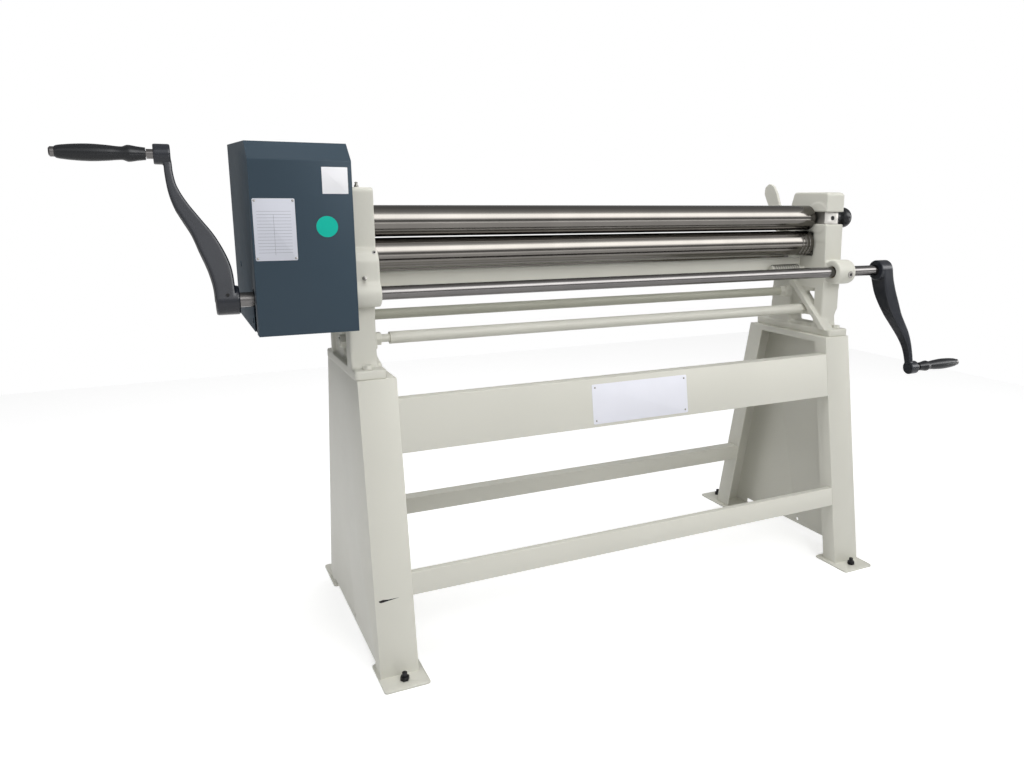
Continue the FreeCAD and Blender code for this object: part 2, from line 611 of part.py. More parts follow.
sleeve_bush = cut("sleeve_bush", sleeve_tube,
                  [cylinder("sleeve_bush_bore", "x", (-770, 0, D.top_axis), sleeve + D.running, 100)])
node("sleeve_bush", sleeve_bush)

edge = D.roll_chamfer
pin = 4
top_profile = [(-728, 0), (-724, 9), (-718, 15), (-710, 17), (-702, 15), (-697, 12), (D.top_roll_left, 12),
               (D.top_roll_left, D.roll_radius - edge), (D.top_roll_left + edge, D.roll_radius),
               (D.roll_right - edge, D.roll_radius), (D.roll_right, D.roll_radius - edge), (D.roll_right, 18),
               (689.8, 18), (689.8, D.journal_radius), (815.8, D.journal_radius), (815.8, 0)]
top_blank = turned("top_blank", top_profile, 0, 0, D.top_axis)
pin_hole = cylinder("pin_hole", "y", (-710, -24, D.top_axis), pin + D.pressed, 48)
node("top_roll", cut("top_roll", top_blank, [pin_hole]))
node("drive_pin", cylinder("drive_pin", "y", (-710, -24, D.top_axis), pin, 48))
block_bush = size_of(17)
block_blank = box("block_blank", (690, -68, D.top_axis - 18.5), (744, 22, D.top_axis + 18.5))
bearing_block = cut("bearing_block", block_blank,
                    [cylinder("block_bore", "x", (680, 0, D.top_axis), block_bush + D.pressed, 80),
                     cylinder("block_eye", "y", (722, -70, D.top_axis), 7, 24)])
node("bearing_block", bearing_block)
block_tube = cylinder("block_bush_tube", "x", (690, 0, D.top_axis), block_bush, 54)
node("bearing_block_bush", cut("bearing_block_bush", block_tube, [
    cylinder("block_bush_bore", "x", (680, 0, D.top_axis), D.journal_radius + D.running, 80)]))
knob_bore = D.journal_radius + D.pressed
knob_profile = [(746, knob_bore), (746, 17), (804, 17), (811, 26), (822, 31), (834, 30), (843, 22), (847, 10),
                (847, 0), (816, 0), (816, knob_bore)]
node("release_knob", turned("release_knob", knob_profile, 0, 0, D.top_axis))

# ------------------------------------------------------------------ pinch roll
half = D.roll_half
grooves = []
for index in range(3):
    middle = D.roll_right - 19 - D.groove_pitch * index
    grooves += [(middle + 4, D.roll_radius), (middle + 2, D.roll_radius - D.groove_depth),
                (middle - 2, D.roll_radius - D.groove_depth), (middle - 4, D.roll_radius)]


def plain_roll(name, left_end, right_face, grooves, y, z):
    """A roll with a journal at each end; left_end is where its left journal stops."""
    line = [(left_end, 0), (left_end, D.journal_radius), (-half, D.journal_radius), (-half, D.roll_radius - edge),
            (-half + edge, D.roll_radius)] + grooves[::-1] + [
            (right_face - edge, D.roll_radius), (right_face, D.roll_radius - edge),
            (right_face, D.journal_radius), (745, D.journal_radius), (745, 0)]
    node(name, turned(name, line, 0, y, z))


plain_roll("pinch_roll", -840, D.roll_right, grooves, 0, D.low_axis)
plain_roll("bending_roll", -745, D.rear_roll_right, [], D.rear_roll_y, D.rear_axis)

bushes = {"pinch": [], "bending": [], "shaft": []}
block_bore = size_of(18)
for word, side in SIDES:
    left, right = span(side, D.block_in, 746)
    for title, y, z, wide, high in (("pinch", size_of(0), D.low_axis, 25, 30),
                                    ("bending", D.rear_roll_y, D.rear_axis, 22, 28)):
        name = word + "_" + title + "_block"
        blank = box(name + "_blank", (left, y - wide, z - high), (right, y + wide, z + high))
        hole = cylinder(name + "_bore", "x", (left - 5, y, z), block_bore + D.pressed, right - left + 10)
        node(name, cut(name, blank, [hole]))
        bush = word + "_" + title + "_bush"
        tube = cylinder(bush + "_tube", "x", (left, y, z), block_bore, right - left)
        hole = cylinder(bush + "_bore", "x", (left - 5, y, z), D.journal_radius + D.running, right - left + 10)
        bushes[title].append(cut(bush, tube, [hole]))
    name = word + "_pinch_screw"
    screw = cylinder(name + "_thread", "z", (side * D.bearing_mid, 0, 862), 8, D.low_axis - 30.1 - 862)
    socket = hexagon(name + "_socket", "z", (side * D.bearing_mid, 0, 861), 8, 11)
    node(name, cut(name, screw, [socket]))
    name = word + "_bending_screw"
    screw = cylinder(name + "_thread", "z", (side * D.bearing_mid, D.rear_roll_y, 776), 8, D.rear_axis - 28.1 - 776)
    head = hexagon(name + "_head", "z", (side * D.bearing_mid, D.rear_roll_y, 762), 20, 14, 30)
    node(name, fuse(name, [screw, head]))

# ------------------------------------------------------------------ hand shaft
shaft_profile = [(D.shaft_left, 0), (D.shaft_left, D.shaft_radius), (D.shaft_right, D.shaft_radius), (D.shaft_right, 0)]
node("hand_shaft", turned("hand_shaft", shaft_profile, 0, D.shaft_y, D.shaft_z))
for word, side in SIDES:
    boss_in, boss_out = (D.right_boss_in, D.boss_out) if side > 0 else (D.left_boss_in, D.left_out)
    left, right = span(side, boss_in + D.bush_lip, boss_out - 1)
    name = word + "_shaft_bush"
    tube = cylinder(name + "_tube", "x", (left, D.shaft_y, D.shaft_z), D.bush_radius, right - left)
    hole = cylinder(name + "_bore", "x", (left - 5, D.shaft_y, D.shaft_z), D.shaft_radius + D.running,
                    right - left + 10)
    bushes["shaft"].append(cut(name, tube, [hole]))
doc.recompute()
for title, pair in bushes.items():
    name = title + "_bushes"
    node(name, feature(name, Part.makeCompound([bush.Shape for bush in pair])))
collar_disc = cylinder("shaft_collar_disc", "x", (-773, D.shaft_y, D.shaft_z), 26, 16)
collar_bore = cylinder("shaft_collar_bore", "x", (-780, D.shaft_y, D.shaft_z), D.shaft_radius + D.pressed, 30)
node("shaft_collar", cut("shaft_collar", collar_disc, [collar_bore]))


# ------------------------------------------------------------------ cranks
CRANKS = {
    "left": (-1, 1, D.left_hub, D.left_hub_in, D.left_crank_up, D.left_crank_back, D.left_grip_length),
    "right": (1, -1, D.right_hub, D.right_hub_in, D.right_crank_up, D.right_crank_back, D.right_grip_length),
}
# the arm seen from the front: distance out from the hub's middle, share of the crank's reach
ARM_INNER = ((-15, 0), (-14, 0.09), (-8, 0.215), (4, 0.325), (22, 0.45), (42, 0.553), (64, 0.677),
             (77, 0.78), (82, 0.865), (83, 0.95))
ARM_OUTER = ((98, 0.95), (98, 0.865), (95, 0.742), (88, 0.635), (79, 0.56), (64, 0.455), (54, 0.338),
             (42, 0.225), (33, 0.13), (28, 0.065), (25, 0))
# the arm seen from the side: share of the reach, half width
ARM_HALF_WIDTH = ((0, 31), (0.195, 27), (0.455, 20), (0.715, 16), (0.95, 13))


def crank(word):
    """A cast crank: hub, S-shaped tapering arm and boss; the left one points up, the right one down."""
    side, sign, hub_x, hub_in, up, back, _ = CRANKS[word]
    name = word + "_crank"
    reach = math.hypot(up.value, back.value)
    lean = math.atan2(back.value, up.value)
    corners = [Vector(side * u, -40, v * reach) for u, v in ARM_INNER + ARM_OUTER]
    slab = Part.Face(Part.makePolygon(corners + [corners[0]])).extrude(Vector(0, 80, 0))
    side_view = [(-w, v) for v, w in ARM_HALF_WIDTH] + [(w, v) for v, w in reversed(ARM_HALF_WIDTH)]
    corners = [Vector(-160, u, v * reach) for u, v in side_view]
    taper = Part.Face(Part.makePolygon(corners + [corners[0]])).extrude(Vector(320, 0, 0))
    arm = slab.common(taper)
    hub_low, hub_high = sorted((-side * hub_in.value, side * D.hub_out.value))
    hub = Part.makeCylinder(D.crank_hub_radius.value, hub_high - hub_low, Vector(hub_low, 0, 0), along)
    boss_start = Vector(side * D.crank_offset.value - D.boss_half.value, 0, reach)
    boss = Part.makeCylinder(D.boss_radius.value, 2 * D.boss_half.value, boss_start, along)
    shape = hub.fuse([arm, boss]).removeSplitter()
    shape = shape.cut(Part.makeCylinder(on_shaft, 80, Vector(-40, 0, 0), along))
    bolt_start = boss_start - Vector(20, 0, 0)
    shape = shape.cut(Part.makeCylinder((D.grip_bolt_radius + D.pressed).value, 80, bolt_start, along))
    if sign < 0:
        shape.rotate(Vector(), along, 180)
    shape.rotate(Vector(), along, -math.degrees(lean))
    return node(name, feature(name, shape, hub_x, D.shaft_y, D.shaft_z))


# a grip from its boss: share of the length, radius
GRIP = ((0.072, 10), (0.22, 16.5), (0.257, 17), (0.292, 13), (0.45, 16.3), (0.61, 17.3), (0.764, 15.9),
        (0.89, 13.1), (0.945, 10))


def grip(word):
    """A turned grip that spins on a shoulder bolt whose collar seats on the crank's boss."""
    side, sign, hub_x, _, up, back, length = CRANKS[word]
    x = hub_x + side * (D.crank_offset + D.boss_half)
    y = D.shaft_y + sign * back
    z = D.shaft_z + sign * up
    bolt = D.grip_bolt_radius
    bore = bolt + 0.1
    handle = [(GRIP[0][0], bore)] + [(u, radius) for u, radius in GRIP] + [(GRIP[-1][0], bore)]
    bolt_line = [(-0.13, 0), (-0.13, bolt), (0, bolt), (0, 10), (0.068, 10), (0.068, bolt), (0.948, bolt),
                 (0.948, 10), (0.985, 10), (1, 7), (1, 0)]
    for title, profile in (("grip", handle), ("grip_bolt", bolt_line)):
        name = word + "_" + title
        node(name, turned(name, [(side * u * length, v) for u, v in profile], x, y, z))


for word, side in SIDES:
    crank(word)
    grip(word)

# ------------------------------------------------------------------ release lever
lever_outline = [(92, 1060), (98, 1086), (126, 1106), (140, 1140), (158, 1164), (180, 1172), (200, 1160),
                 (203, 1138), (184, 1106), (164, 1084), (124, 1056), (108, 1050)]
lever_blank = prism("lever_blank", "x", lever_outline, 671, 680, {4: 12, 5: 12, 6: 12, 7: 12})
lever_shaft = cylinder("lever_shaft", "x", (660, D.lever_y, D.top_axis), D.lever_radius, 88)
node("release_lever", fuse("release_lever", [lever_blank, lever_shaft]))
node("lock_plunger", cylinder("lock_plunger", "y", (716, 22.4, D.top_axis), D.plunger_radius, 68))

# ------------------------------------------------------------------ gear cover
wall = D.cover_sheet
outer = [(D.cover_front, D.cover_low), (D.cover_front, D.cover_edge), (D.cover_facet, D.cover_facet_top),
         (D.cover_back, D.cover_top), (D.cover_back, D.cover_low)]
inner = [(D.cover_front + wall, D.cover_low - 5), (D.cover_front + wall, D.cover_edge - 1),
         (D.cover_facet + 1, D.cover_facet_top - wall), (D.cover_back - wall, D.cover_top - wall),
         (D.cover_back - wall, D.cover_low - 5)]
cover_blank = prism("cover_blank", "x", outer, D.cover_left, D.cover_right, {1: 4, 2: 4})
cover_room = prism("cover_room", "x", inner, D.cover_left + wall, D.cover_right + 5)
cover_slot = box("cover_slot", (D.cover_left - 1, D.shaft_y - D.cover_slot_half, D.cover_low - 1),
                 (D.cover_left + 5, D.shaft_y + D.cover_slot_half, D.shaft_z))
slot_end = cylinder("slot_end", "x", (D.cover_left - 1, D.shaft_y, D.shaft_z), D.cover_slot_half, 6)
node("gear_cover", cut("gear_cover", cover_blank, [cover_room, cover_slot, slot_end]))

POSTS = ((-60, 850), (130, 868), (144, 962))
post_spots = [Placement(Vector(0, y, z), Rotation()) for y, z in POSTS]
post = cylinder("post", "x", (D.cover_left + wall, 0, 0), 8, -D.left_out - D.cover_left - wall)
node("cover_posts", copies("cover_posts", post, post_spots))
cover_screw = cylinder("cover_screw", "x", (D.cover_left - 1.5, 0, 0), 7, 1.5)
node("cover_screws", copies("cover_screws", cover_screw, post_spots))

# ------------------------------------------------------------------ small fittings
node("buffer_spring", turned("buffer_spring", [(562, 8), (562, 14), (662, 14), (662, 8)], 0, 14, 908))
spring_rod = [(556, 0), (556, 10), (562, 10), (562, 6), (662, 6), (662, 10), (668, 10), (668, 6),
              (D.right_in, 6), (D.right_in, 0)]
node("spring_rod", turned("spring_rod", spring_rod, 0, 14, 908))
nipple = turned("nipple", [(0, 0), (0, 5), (6, 5), (6, 3.4), (13, 2), (13, 0)])
NIPPLES = ((Vector(-722, -123, 944), Rotation(Vector(0, 0, 1), -90)),
           (Vector(-713, -40, D.head_top.value), Rotation(Vector(0, 1, 0), -90)),
           (Vector(713, -40, D.head_top.value), Rotation(Vector(0, 1, 0), -90)))
node("grease_nipples", copies("grease_nipples", nipple, [Placement(spot, turn) for spot, turn in NIPPLES]))

# ------------------------------------------------------------------ write the pieces
doc.recompute()
for item in doc.Objects:
    if "Invalid" in item.State or "Error" in item.State:
        raise RuntimeError(item.Name + " is " + str(item.State))
os.makedirs("parts", exist_ok=True)
total = 0
envelope = FreeCAD.BoundBox()
for item in NODES:
    shape = item.Shape
    if shape.isNull() or not shape.isValid() or not shape.Solids:
        raise RuntimeError(item.Label + " has no valid solid")
    shape.exportStep("parts/" + item.Label + ".step")
    envelope.add(shape.BoundBox)
    total += 1
print(total, "nodes; X", round(envelope.XMin, 1), round(envelope.XMax, 1), "Y", round(envelope.YMin, 1),
      round(envelope.YMax, 1), "Z", round(envelope.ZMin, 1), round(envelope.ZMax, 1))
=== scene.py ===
# %% [markdown]
# # A hand-driven slip roll machine
#
# A slip roll bends sheet metal into curves between three long steel rolls. Two cast side frames
# carry the rolls, a folded steel stand carries the side frames, and a crank at either end turns
# a shaft that drives the rolls through gears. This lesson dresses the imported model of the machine
# piece by piece: first the finishes, then the castings, the sheet metal, the turned parts and the
# small fittings, and at the end the floor, the lamps and the camera.

# %% Load the fixed frame
import json
import math

import bmesh
import bpy
from mathutils import Matrix, Vector

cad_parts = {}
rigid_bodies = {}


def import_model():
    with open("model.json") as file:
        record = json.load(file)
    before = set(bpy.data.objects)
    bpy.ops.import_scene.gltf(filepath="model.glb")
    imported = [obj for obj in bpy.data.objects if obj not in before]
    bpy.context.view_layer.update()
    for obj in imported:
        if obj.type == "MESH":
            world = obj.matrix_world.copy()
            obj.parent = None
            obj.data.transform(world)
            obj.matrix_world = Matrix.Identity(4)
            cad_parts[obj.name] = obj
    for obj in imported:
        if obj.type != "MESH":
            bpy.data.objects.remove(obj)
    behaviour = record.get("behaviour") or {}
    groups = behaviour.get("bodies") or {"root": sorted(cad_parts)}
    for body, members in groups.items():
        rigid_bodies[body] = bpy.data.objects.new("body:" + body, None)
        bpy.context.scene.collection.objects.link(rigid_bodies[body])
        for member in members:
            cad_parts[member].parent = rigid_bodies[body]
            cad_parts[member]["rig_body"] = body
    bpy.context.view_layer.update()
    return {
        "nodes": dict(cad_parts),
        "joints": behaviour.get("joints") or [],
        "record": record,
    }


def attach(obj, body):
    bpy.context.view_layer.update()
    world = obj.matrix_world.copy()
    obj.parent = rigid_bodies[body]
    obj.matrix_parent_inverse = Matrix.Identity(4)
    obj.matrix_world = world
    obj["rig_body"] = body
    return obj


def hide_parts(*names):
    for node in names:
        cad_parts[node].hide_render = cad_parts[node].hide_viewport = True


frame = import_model()

# %% [markdown]
# ## Places on the machine
#
# A maker measures from the machine itself: along the rolls from the middle between the side
# frames, in depth from the plane of the two front rolls, and up from the floor, in millimetres.
# The joint of the top roll lies on that middle and in that plane, so one small function turns
# bench measures into the frame's metres. Typing the frame's own coordinates would work too, but
# then no number could be checked with a rule on the machine.

# %% Bench measures to frame metres
MM = 0.001
joints = {joint["name"]: joint for joint in frame["joints"]}
middle = Vector(joints["top_roll_spin"]["pos_m"])


def at(along, back, up):
    """A place on the machine, from bench measures in millimetres."""
    return Vector((middle.x + along * MM, middle.y + back * MM, up * MM))


TOP_ROLL_UP = middle.z / MM
shaft_line = Vector(joints["crank_spin"]["pos_m"])
SHAFT_BACK = (shaft_line.y - middle.y) / MM
SHAFT_UP = shaft_line.z / MM
print("roll line", round(TOP_ROLL_UP), "mm up; hand shaft", round(-SHAFT_BACK), "mm in front of it")

# %% [markdown]
# ## Finishes are small networks of nodes
#
# Every finish below starts from the Principled shader. Colour comes from a slow noise that mixes
# two close tones, because no paint or steel is one flat colour, and the surface comes from a fast
# noise sent through a Bump node. Texture coordinates come from the object, so the grain stays with
# a piece when a joint turns it. A helper adds a node and fills its sockets in one line.


# %% Nodes in one line
def new_finish(name):
    """An empty material with its node tree and its Principled shader."""
    material = bpy.data.materials.new(name)
    material.use_nodes = True
    tree = material.node_tree
    return material, tree, tree.nodes["Principled BSDF"]


def add(tree, kind, **sockets):
    """A new node; a socket's value is a number, a colour or another node's output."""
    node = tree.nodes.new(kind)
    for name, value in sockets.items():
        socket = node.inputs[name.replace("_", " ")]
        if isinstance(value, bpy.types.NodeSocket):
            tree.links.new(value, socket)
        else:
            socket.default_value = value
    return node


print("a node and its sockets now take one line")


# %% Noise, ramps and ranges
def noise(tree, scale, stretch=(1, 1, 1), detail=3.0):
    """Noise in metres that can be drawn out along an axis: its output runs from 0 to 1."""
    place = add(tree, "ShaderNodeTexCoord").outputs["Object"]
    mapping = add(tree, "ShaderNodeMapping", Vector=place, Scale=stretch).outputs[0]
    return add(tree, "ShaderNodeTexNoise", Vector=mapping, Scale=scale, Detail=detail).outputs[0]


RAMP_START, RAMP_STOP = 0.3, 0.7


def ramp(tree, value, low, high):
    """A straight mix of two colours over the middle of a noise's range."""
    node = add(tree, "ShaderNodeValToRGB", Fac=value)
    for element, position, color in zip(node.color_ramp.elements, (RAMP_START, RAMP_STOP), (low, high)):
        element.position = position
        element.color = (*color, 1)
    return node.outputs[0]


def spread(tree, value, low, high):
    """The 0 to 1 of a noise brought to a range of numbers."""
    return add(tree, "ShaderNodeMapRange", Value=value, To_Min=low, To_Max=high).outputs[0]


print("noise is mixed between", RAMP_START, "and", RAMP_STOP)

# %% [markdown]
# ## Colours
#
# A colour is easiest to pick as screen values from 0 to 255, but shaders calculate in linear
# light, where half as bright to the eye is only a fifth of the light. One function converts, and
# another makes a colour a little lighter or darker, for the two tones of each finish.


# %% Colour helpers
def tone(color, amount):
    """A colour made a little lighter or darker."""
    return tuple(min(1.0, channel * amount) for channel in color)


def linear(red, green, blue):
    """A colour picked as screen values from 0 to 255, in the linear light that shaders use."""
    return tuple(((v / 255 + 0.055) / 1.055) ** 2.4 if v > 10 else v / 3294
                 for v in (red, green, blue))


print("screen grey 128 is", round(linear(128, 128, 128)[0], 3), "in linear light")

# %% [markdown]
# ## Paint
#
# The stand and the castings wear the same cream-grey enamel. On folded sheet it lies smooth with a
# faint orange peel; on a casting the sand shows through, so the same function takes a deeper and
# coarser bump there. A Bevel node compared with the true normal finds the edges, and a lighter line
# is painted along them: a painted highlight, the light that a rounded edge catches. Painting the
# edges by hand would suit one view only, and the Bevel node finds them on every piece.

# %% Painted edge highlight
EDGE_REACH = 0.003
HIGHLIGHT_START, HIGHLIGHT_FULL, HIGHLIGHT_MOST = 0.995, 0.9, 0.55


def painted_edge_highlight(tree, body, highlight_color):
    """The paint's colour with a thin, lighter line along every edge: a painted highlight."""
    rounded = add(tree, "ShaderNodeBevel", Radius=EDGE_REACH)
    true_normal = add(tree, "ShaderNodeNewGeometry").outputs["Normal"]
    facing = tree.nodes.new("ShaderNodeVectorMath")
    facing.operation = "DOT_PRODUCT"
    tree.links.new(rounded.outputs[0], facing.inputs[0])
    tree.links.new(true_normal, facing.inputs[1])
    highlight_share = add(tree, "ShaderNodeMapRange", Value=facing.outputs["Value"], From_Min=HIGHLIGHT_START,
               From_Max=HIGHLIGHT_FULL, To_Min=0.0, To_Max=HIGHLIGHT_MOST)
    mixed = tree.nodes.new("ShaderNodeMix")
    mixed.data_type = "RGBA"
    color_a, color_b = mixed.inputs[6], mixed.inputs[7]
    tree.links.new(highlight_share.outputs[0], mixed.inputs["Factor"])
    tree.links.new(body, color_a)
    color_b.default_value = (*highlight_color, 1)
    return mixed.outputs[2]


# The lighter edge line is a painted highlight.
print("edges wear over", EDGE_REACH / MM, "mm")


# %% Paint
PATCHES, DARKER, LIGHTER = 3.5, 0.975, 1.02
SHEEN_PATCHES, SHEEN_SPREAD = 40, 0.05
PEEL_STRENGTH, SAND_STRENGTH, SAND_DETAIL = 0.4, 0.5, 5.0


def paint(name, color, roughness, peel_size, peel_depth, cast_size=0.0, cast_depth=0.0,
          edge=1.12, gloss=0.35):
    """Enamel over metal: peel is the paint's own ripple, cast is the sand under it."""
    material, tree, shader = new_finish(name)
    shader.inputs["Specular IOR Level"].default_value = gloss
    body = ramp(tree, noise(tree, PATCHES, detail=2.0), tone(color, DARKER), tone(color, LIGHTER))
    tree.links.new(painted_edge_highlight(tree, body, tone(color, edge)), shader.inputs["Base Color"])
    sheen = noise(tree, SHEEN_PATCHES)
    tree.links.new(spread(tree, sheen, roughness - SHEEN_SPREAD, roughness + SHEEN_SPREAD),
                   shader.inputs["Roughness"])
    bump = add(tree, "ShaderNodeBump", Strength=PEEL_STRENGTH, Distance=peel_depth,
               Height=noise(tree, peel_size))
    if cast_size:
        bump = add(tree, "ShaderNodeBump", Strength=SAND_STRENGTH, Distance=cast_depth,
                   Height=noise(tree, cast_size, detail=SAND_DETAIL), Normal=bump.outputs[0])
    tree.links.new(bump.outputs[0], shader.inputs["Normal"])
    return material


CREAM = linear(214, 213, 203)
FINISHES = {
    "stand_paint": paint("cream_enamel", CREAM, 0.42, 260, 0.0002),
    "cast_paint": paint("cream_enamel_on_casting", CREAM, 0.46, 200, 0.0003, 70, 0.0007),
    # The rear rod and its nuts take a darker, more olive copy of the cream: painted shade for the rod
    # that sits back in the stand.
    "olive_paint": paint("shade_darkened_cream_enamel", linear(190, 190, 176), 0.5, 240, 0.0003),
    "cover_paint": paint("blue_grey_enamel", linear(56, 70, 81), 0.36, 300, 0.0002,
                         edge=1.2, gloss=0.15),
    "crank_black": paint("black_enamel_on_casting", linear(30, 33, 40), 0.24, 90, 0.0001, 30, 0.0002,
                         edge=1.2, gloss=0.38),
}
print(len(FINISHES), "paints")

# %% [markdown]
# ## Bare metal
#
# Rolls and shafts are ground while they spin, so their marks run round them: thousands of fine
# rings, close together along the axis and unbroken around it. Stretching a noise hard along the
# axis and not at all around it gives those rings to both the roughness and the bump. Both stay
# faint, because a ground roll mirrors the room in long straight bands.


# %% Metal
STAINS, STAIN_STRETCH, STAIN_TONE = 5, (3, 1, 1), 0.92
MARKS_LOW, MARKS_HIGH, MARKS_STRENGTH, MARKS_DETAIL = 0.85, 1.15, 0.3, 4.0


def metal(name, color, roughness, marks_stretch=(900, 2, 2), depth=0.00001):
    """Machined metal whose fine marks follow the stretch of its noise."""
    material, tree, shader = new_finish(name)
    stains = noise(tree, STAINS, STAIN_STRETCH, 2.0)
    tree.links.new(ramp(tree, stains, tone(color, STAIN_TONE), color), shader.inputs["Base Color"])
    marks = noise(tree, 1.0, marks_stretch, MARKS_DETAIL)
    tree.links.new(spread(tree, marks, roughness * MARKS_LOW, roughness * MARKS_HIGH),
                   shader.inputs["Roughness"])
    shader.inputs["Metallic"].default_value = 1.0
    bump = add(tree, "ShaderNodeBump", Strength=MARKS_STRENGTH, Distance=depth, Height=marks)
    tree.links.new(bump.outputs[0], shader.inputs["Normal"])
    return material


FINISHES.update({
    # The steel of the rolls and of the hand shaft is darker than bare ground steel: painted shade for
    # the dark room that they mirror.
    "roll_steel": metal("ground_roll_steel", linear(112, 109, 105), 0.15),
    "shaft_steel": metal("bright_shaft_steel", linear(108, 106, 105), 0.2),
    "block_iron": metal("machined_iron", linear(150, 148, 144), 0.4, (300, 300, 60), 0.00005),
    "gear_steel": metal("oiled_gear_steel", linear(112, 112, 114), 0.34, (260, 30, 30), 0.00005),
    "bronze": metal("turned_bronze", linear(186, 146, 92), 0.3),
    "black_steel": metal("blackened_steel", linear(52, 52, 54), 0.42, (180, 180, 180), 0.00005),
    "plated_iron": metal("plated_iron", linear(166, 164, 160), 0.5, (200, 200, 60), 0.00003),
})
print(len(FINISHES), "finishes with the metals")

# %% [markdown]
# ## Hard plastic and plates
#
# The grips and the release knob are turned from hard black plastic, glossy with a very fine ripple.
# The plates are thin anodised aluminium and coated label stock, plain from edge to edge. A picture
# could be laid on them, but a calm, even finish with the same faint ripple needs none.


# %% Plastic and plates
def plastic(name, color, roughness):
    """Hard moulded or turned plastic, or a smooth coated label."""
    material, tree, shader = new_finish(name)
    shader.inputs["Specular IOR Level"].default_value = 0.3
    tree.links.new(ramp(tree, noise(tree, 12), tone(color, 0.985), tone(color, 1.01)),
                   shader.inputs["Base Color"])
    tree.links.new(spread(tree, noise(tree, 60), roughness - 0.02, roughness + 0.02),
                   shader.inputs["Roughness"])
    bump = add(tree, "ShaderNodeBump", Strength=0.1, Distance=0.0001, Height=noise(tree, 90))
    tree.links.new(bump.outputs[0], shader.inputs["Normal"])
    return material


FINISHES.update({
    "grip_black": plastic("black_grip_plastic", linear(22, 24, 27), 0.27),
    "plate_silver": plastic("anodised_plate", linear(232, 233, 241), 0.4),
    "data_silver": plastic("brushed_data_plate", linear(205, 207, 216), 0.4),
    "label_white": plastic("white_label", linear(240, 240, 243), 0.4),
    "label_green": plastic("green_label", linear(0, 178, 158), 0.4),
    "rule_ink": plastic("printed_rule", linear(120, 122, 132), 0.5),
    # dark_hole is painted shade: the near-black that lies on recesses, holes and a slit as thin dark
    # shapes.
    "dark_hole": plastic("dark_hole", linear(26, 26, 26), 0.7),
})
print(len(FINISHES), "finishes in all")

# %% [markdown]
# ## Carrying the solids over
#
# Solids whose shape is already right keep their mesh and only get a finish. Painted castings,
# folded sheet and black castings are replaced by softened copies below, because a real edge is
# never a perfect corner.

# %% Finish every solid
SHARP_ANGLE = math.radians(32)
slots = {row["node"]: row["material_slot"] for row in frame["record"]["subparts"]}
for title, solid in frame["nodes"].items():
    solid.data.materials.clear()
    solid.data.materials.append(FINISHES[slots[title]])
    solid.data.shade_smooth()
    solid.data.set_sharp_from_angle(angle=SHARP_ANGLE)
print(len(slots), "solids finished")

# %% [markdown]
# ## New pieces ride on bodies
#
# Every new piece has to move with the body that carries it, so one function makes the object,
# gives it its finish, and lets it ride. Parenting by hand would do the same, but a forgotten
# piece would then hang in the air as soon as a crank turns.


# %% Pieces that ride
def piece(name, mesh, finish, body, smooth=35.0):
    """An object from a mesh, with its finish, that rides on a body."""
    item = bpy.data.objects.new(name, mesh)
    bpy.context.scene.collection.objects.link(item)
    mesh.materials.clear()
    mesh.materials.append(FINISHES[finish])
    mesh.shade_smooth()
    mesh.set_sharp_from_angle(angle=math.radians(smooth))
    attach(item, body)
    return item


def body_of(title):
    """The body that a solid rides on."""
    return frame["nodes"][title]["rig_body"]


print(len({body_of(title) for title in frame["nodes"]}), "bodies carry solids")

# %% [markdown]
# ## Softened copies
#
# A copy of a solid first gets its doubled corners welded and its flat faces made whole, because a
# bevel or a remesh would otherwise follow every seam of the triangles. Modifiers then do the
# shaping, and their result is taken as a plain mesh, so nothing is left to calculate later.

# %% Copies and modifiers
WELD = 0.00002
FLAT_ANGLE = math.radians(0.8)


def with_modifiers(mesh, *modifiers):
    """The mesh after a list of (kind, settings) modifiers."""
    carrier = bpy.data.objects.new("carrier", mesh)
    bpy.context.scene.collection.objects.link(carrier)
    for kind, settings in modifiers:
        modifier = carrier.modifiers.new(kind.lower(), kind)
        for key, value in settings.items():
            setattr(modifier, key, value)
    depsgraph = bpy.context.evaluated_depsgraph_get()
    result = bpy.data.meshes.new_from_object(carrier.evaluated_get(depsgraph))
    bpy.data.objects.remove(carrier)
    return result


def clean_copy(title):
    """A solid's mesh with its doubled corners welded and its flat faces whole again."""
    mesh = frame["nodes"][title].data.copy()
    form = bmesh.new()
    form.from_mesh(mesh)
    bmesh.ops.remove_doubles(form, verts=form.verts, dist=WELD)
    bmesh.ops.dissolve_limit(form, angle_limit=FLAT_ANGLE, verts=form.verts, edges=form.edges)
    form.to_mesh(mesh)
    form.free()
    return mesh


print("corners closer than", WELD / MM, "mm are welded")

# %% [markdown]
# ## Side frames and release lever
#
# Both side frames and the release lever are sand castings under paint. A voxel remesh turns their
# crisp solids into an even skin, and a few rounds of smoothing draw every edge into the small
# radius that a foundry pattern has. A bevel could do the same, but it stumbles where bosses, ribs
# and slots run into each other, and the remesh doesn't.

# %% Castings
CAST_SMOOTH = 60.0
FRAME_VOXEL, FRAME_PASSES = 0.0025, 5
LEVER_VOXEL, LEVER_PASSES = 0.0014, 9


def smoothed(mesh, voxel, passes):
    """A mesh remeshed finely, then smoothed so that its edges run round."""
    return with_modifiers(mesh, ("REMESH", {"mode": "VOXEL", "voxel_size": voxel}),
                          ("SMOOTH", {"factor": 0.5, "iterations": passes}))


def cast(title, voxel, passes):
    """A painted solid as the foundry leaves it, with every corner run round."""
    mesh = smoothed(clean_copy(title), voxel, passes)
    item = piece(title + "_cast", mesh, "cast_paint", body_of(title), CAST_SMOOTH)
    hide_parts(title)
    print(item.name, len(item.data.polygons), "faces")


cast("left_side_frame", FRAME_VOXEL, FRAME_PASSES)
cast("right_side_frame", FRAME_VOXEL, FRAME_PASSES)
cast("release_lever", LEVER_VOXEL, LEVER_PASSES)

# %% [markdown]
# ## Folded sheet and machined parts
#
# The legs, the beam and the ties are folded from sheet, and a fold has an outside radius. A bevel
# limited by angle gives it to every sharp edge at once. Nuts and blocks take a smaller one. The
# bevel also hardens the normals, so that the flat faces beside it stay evenly lit.

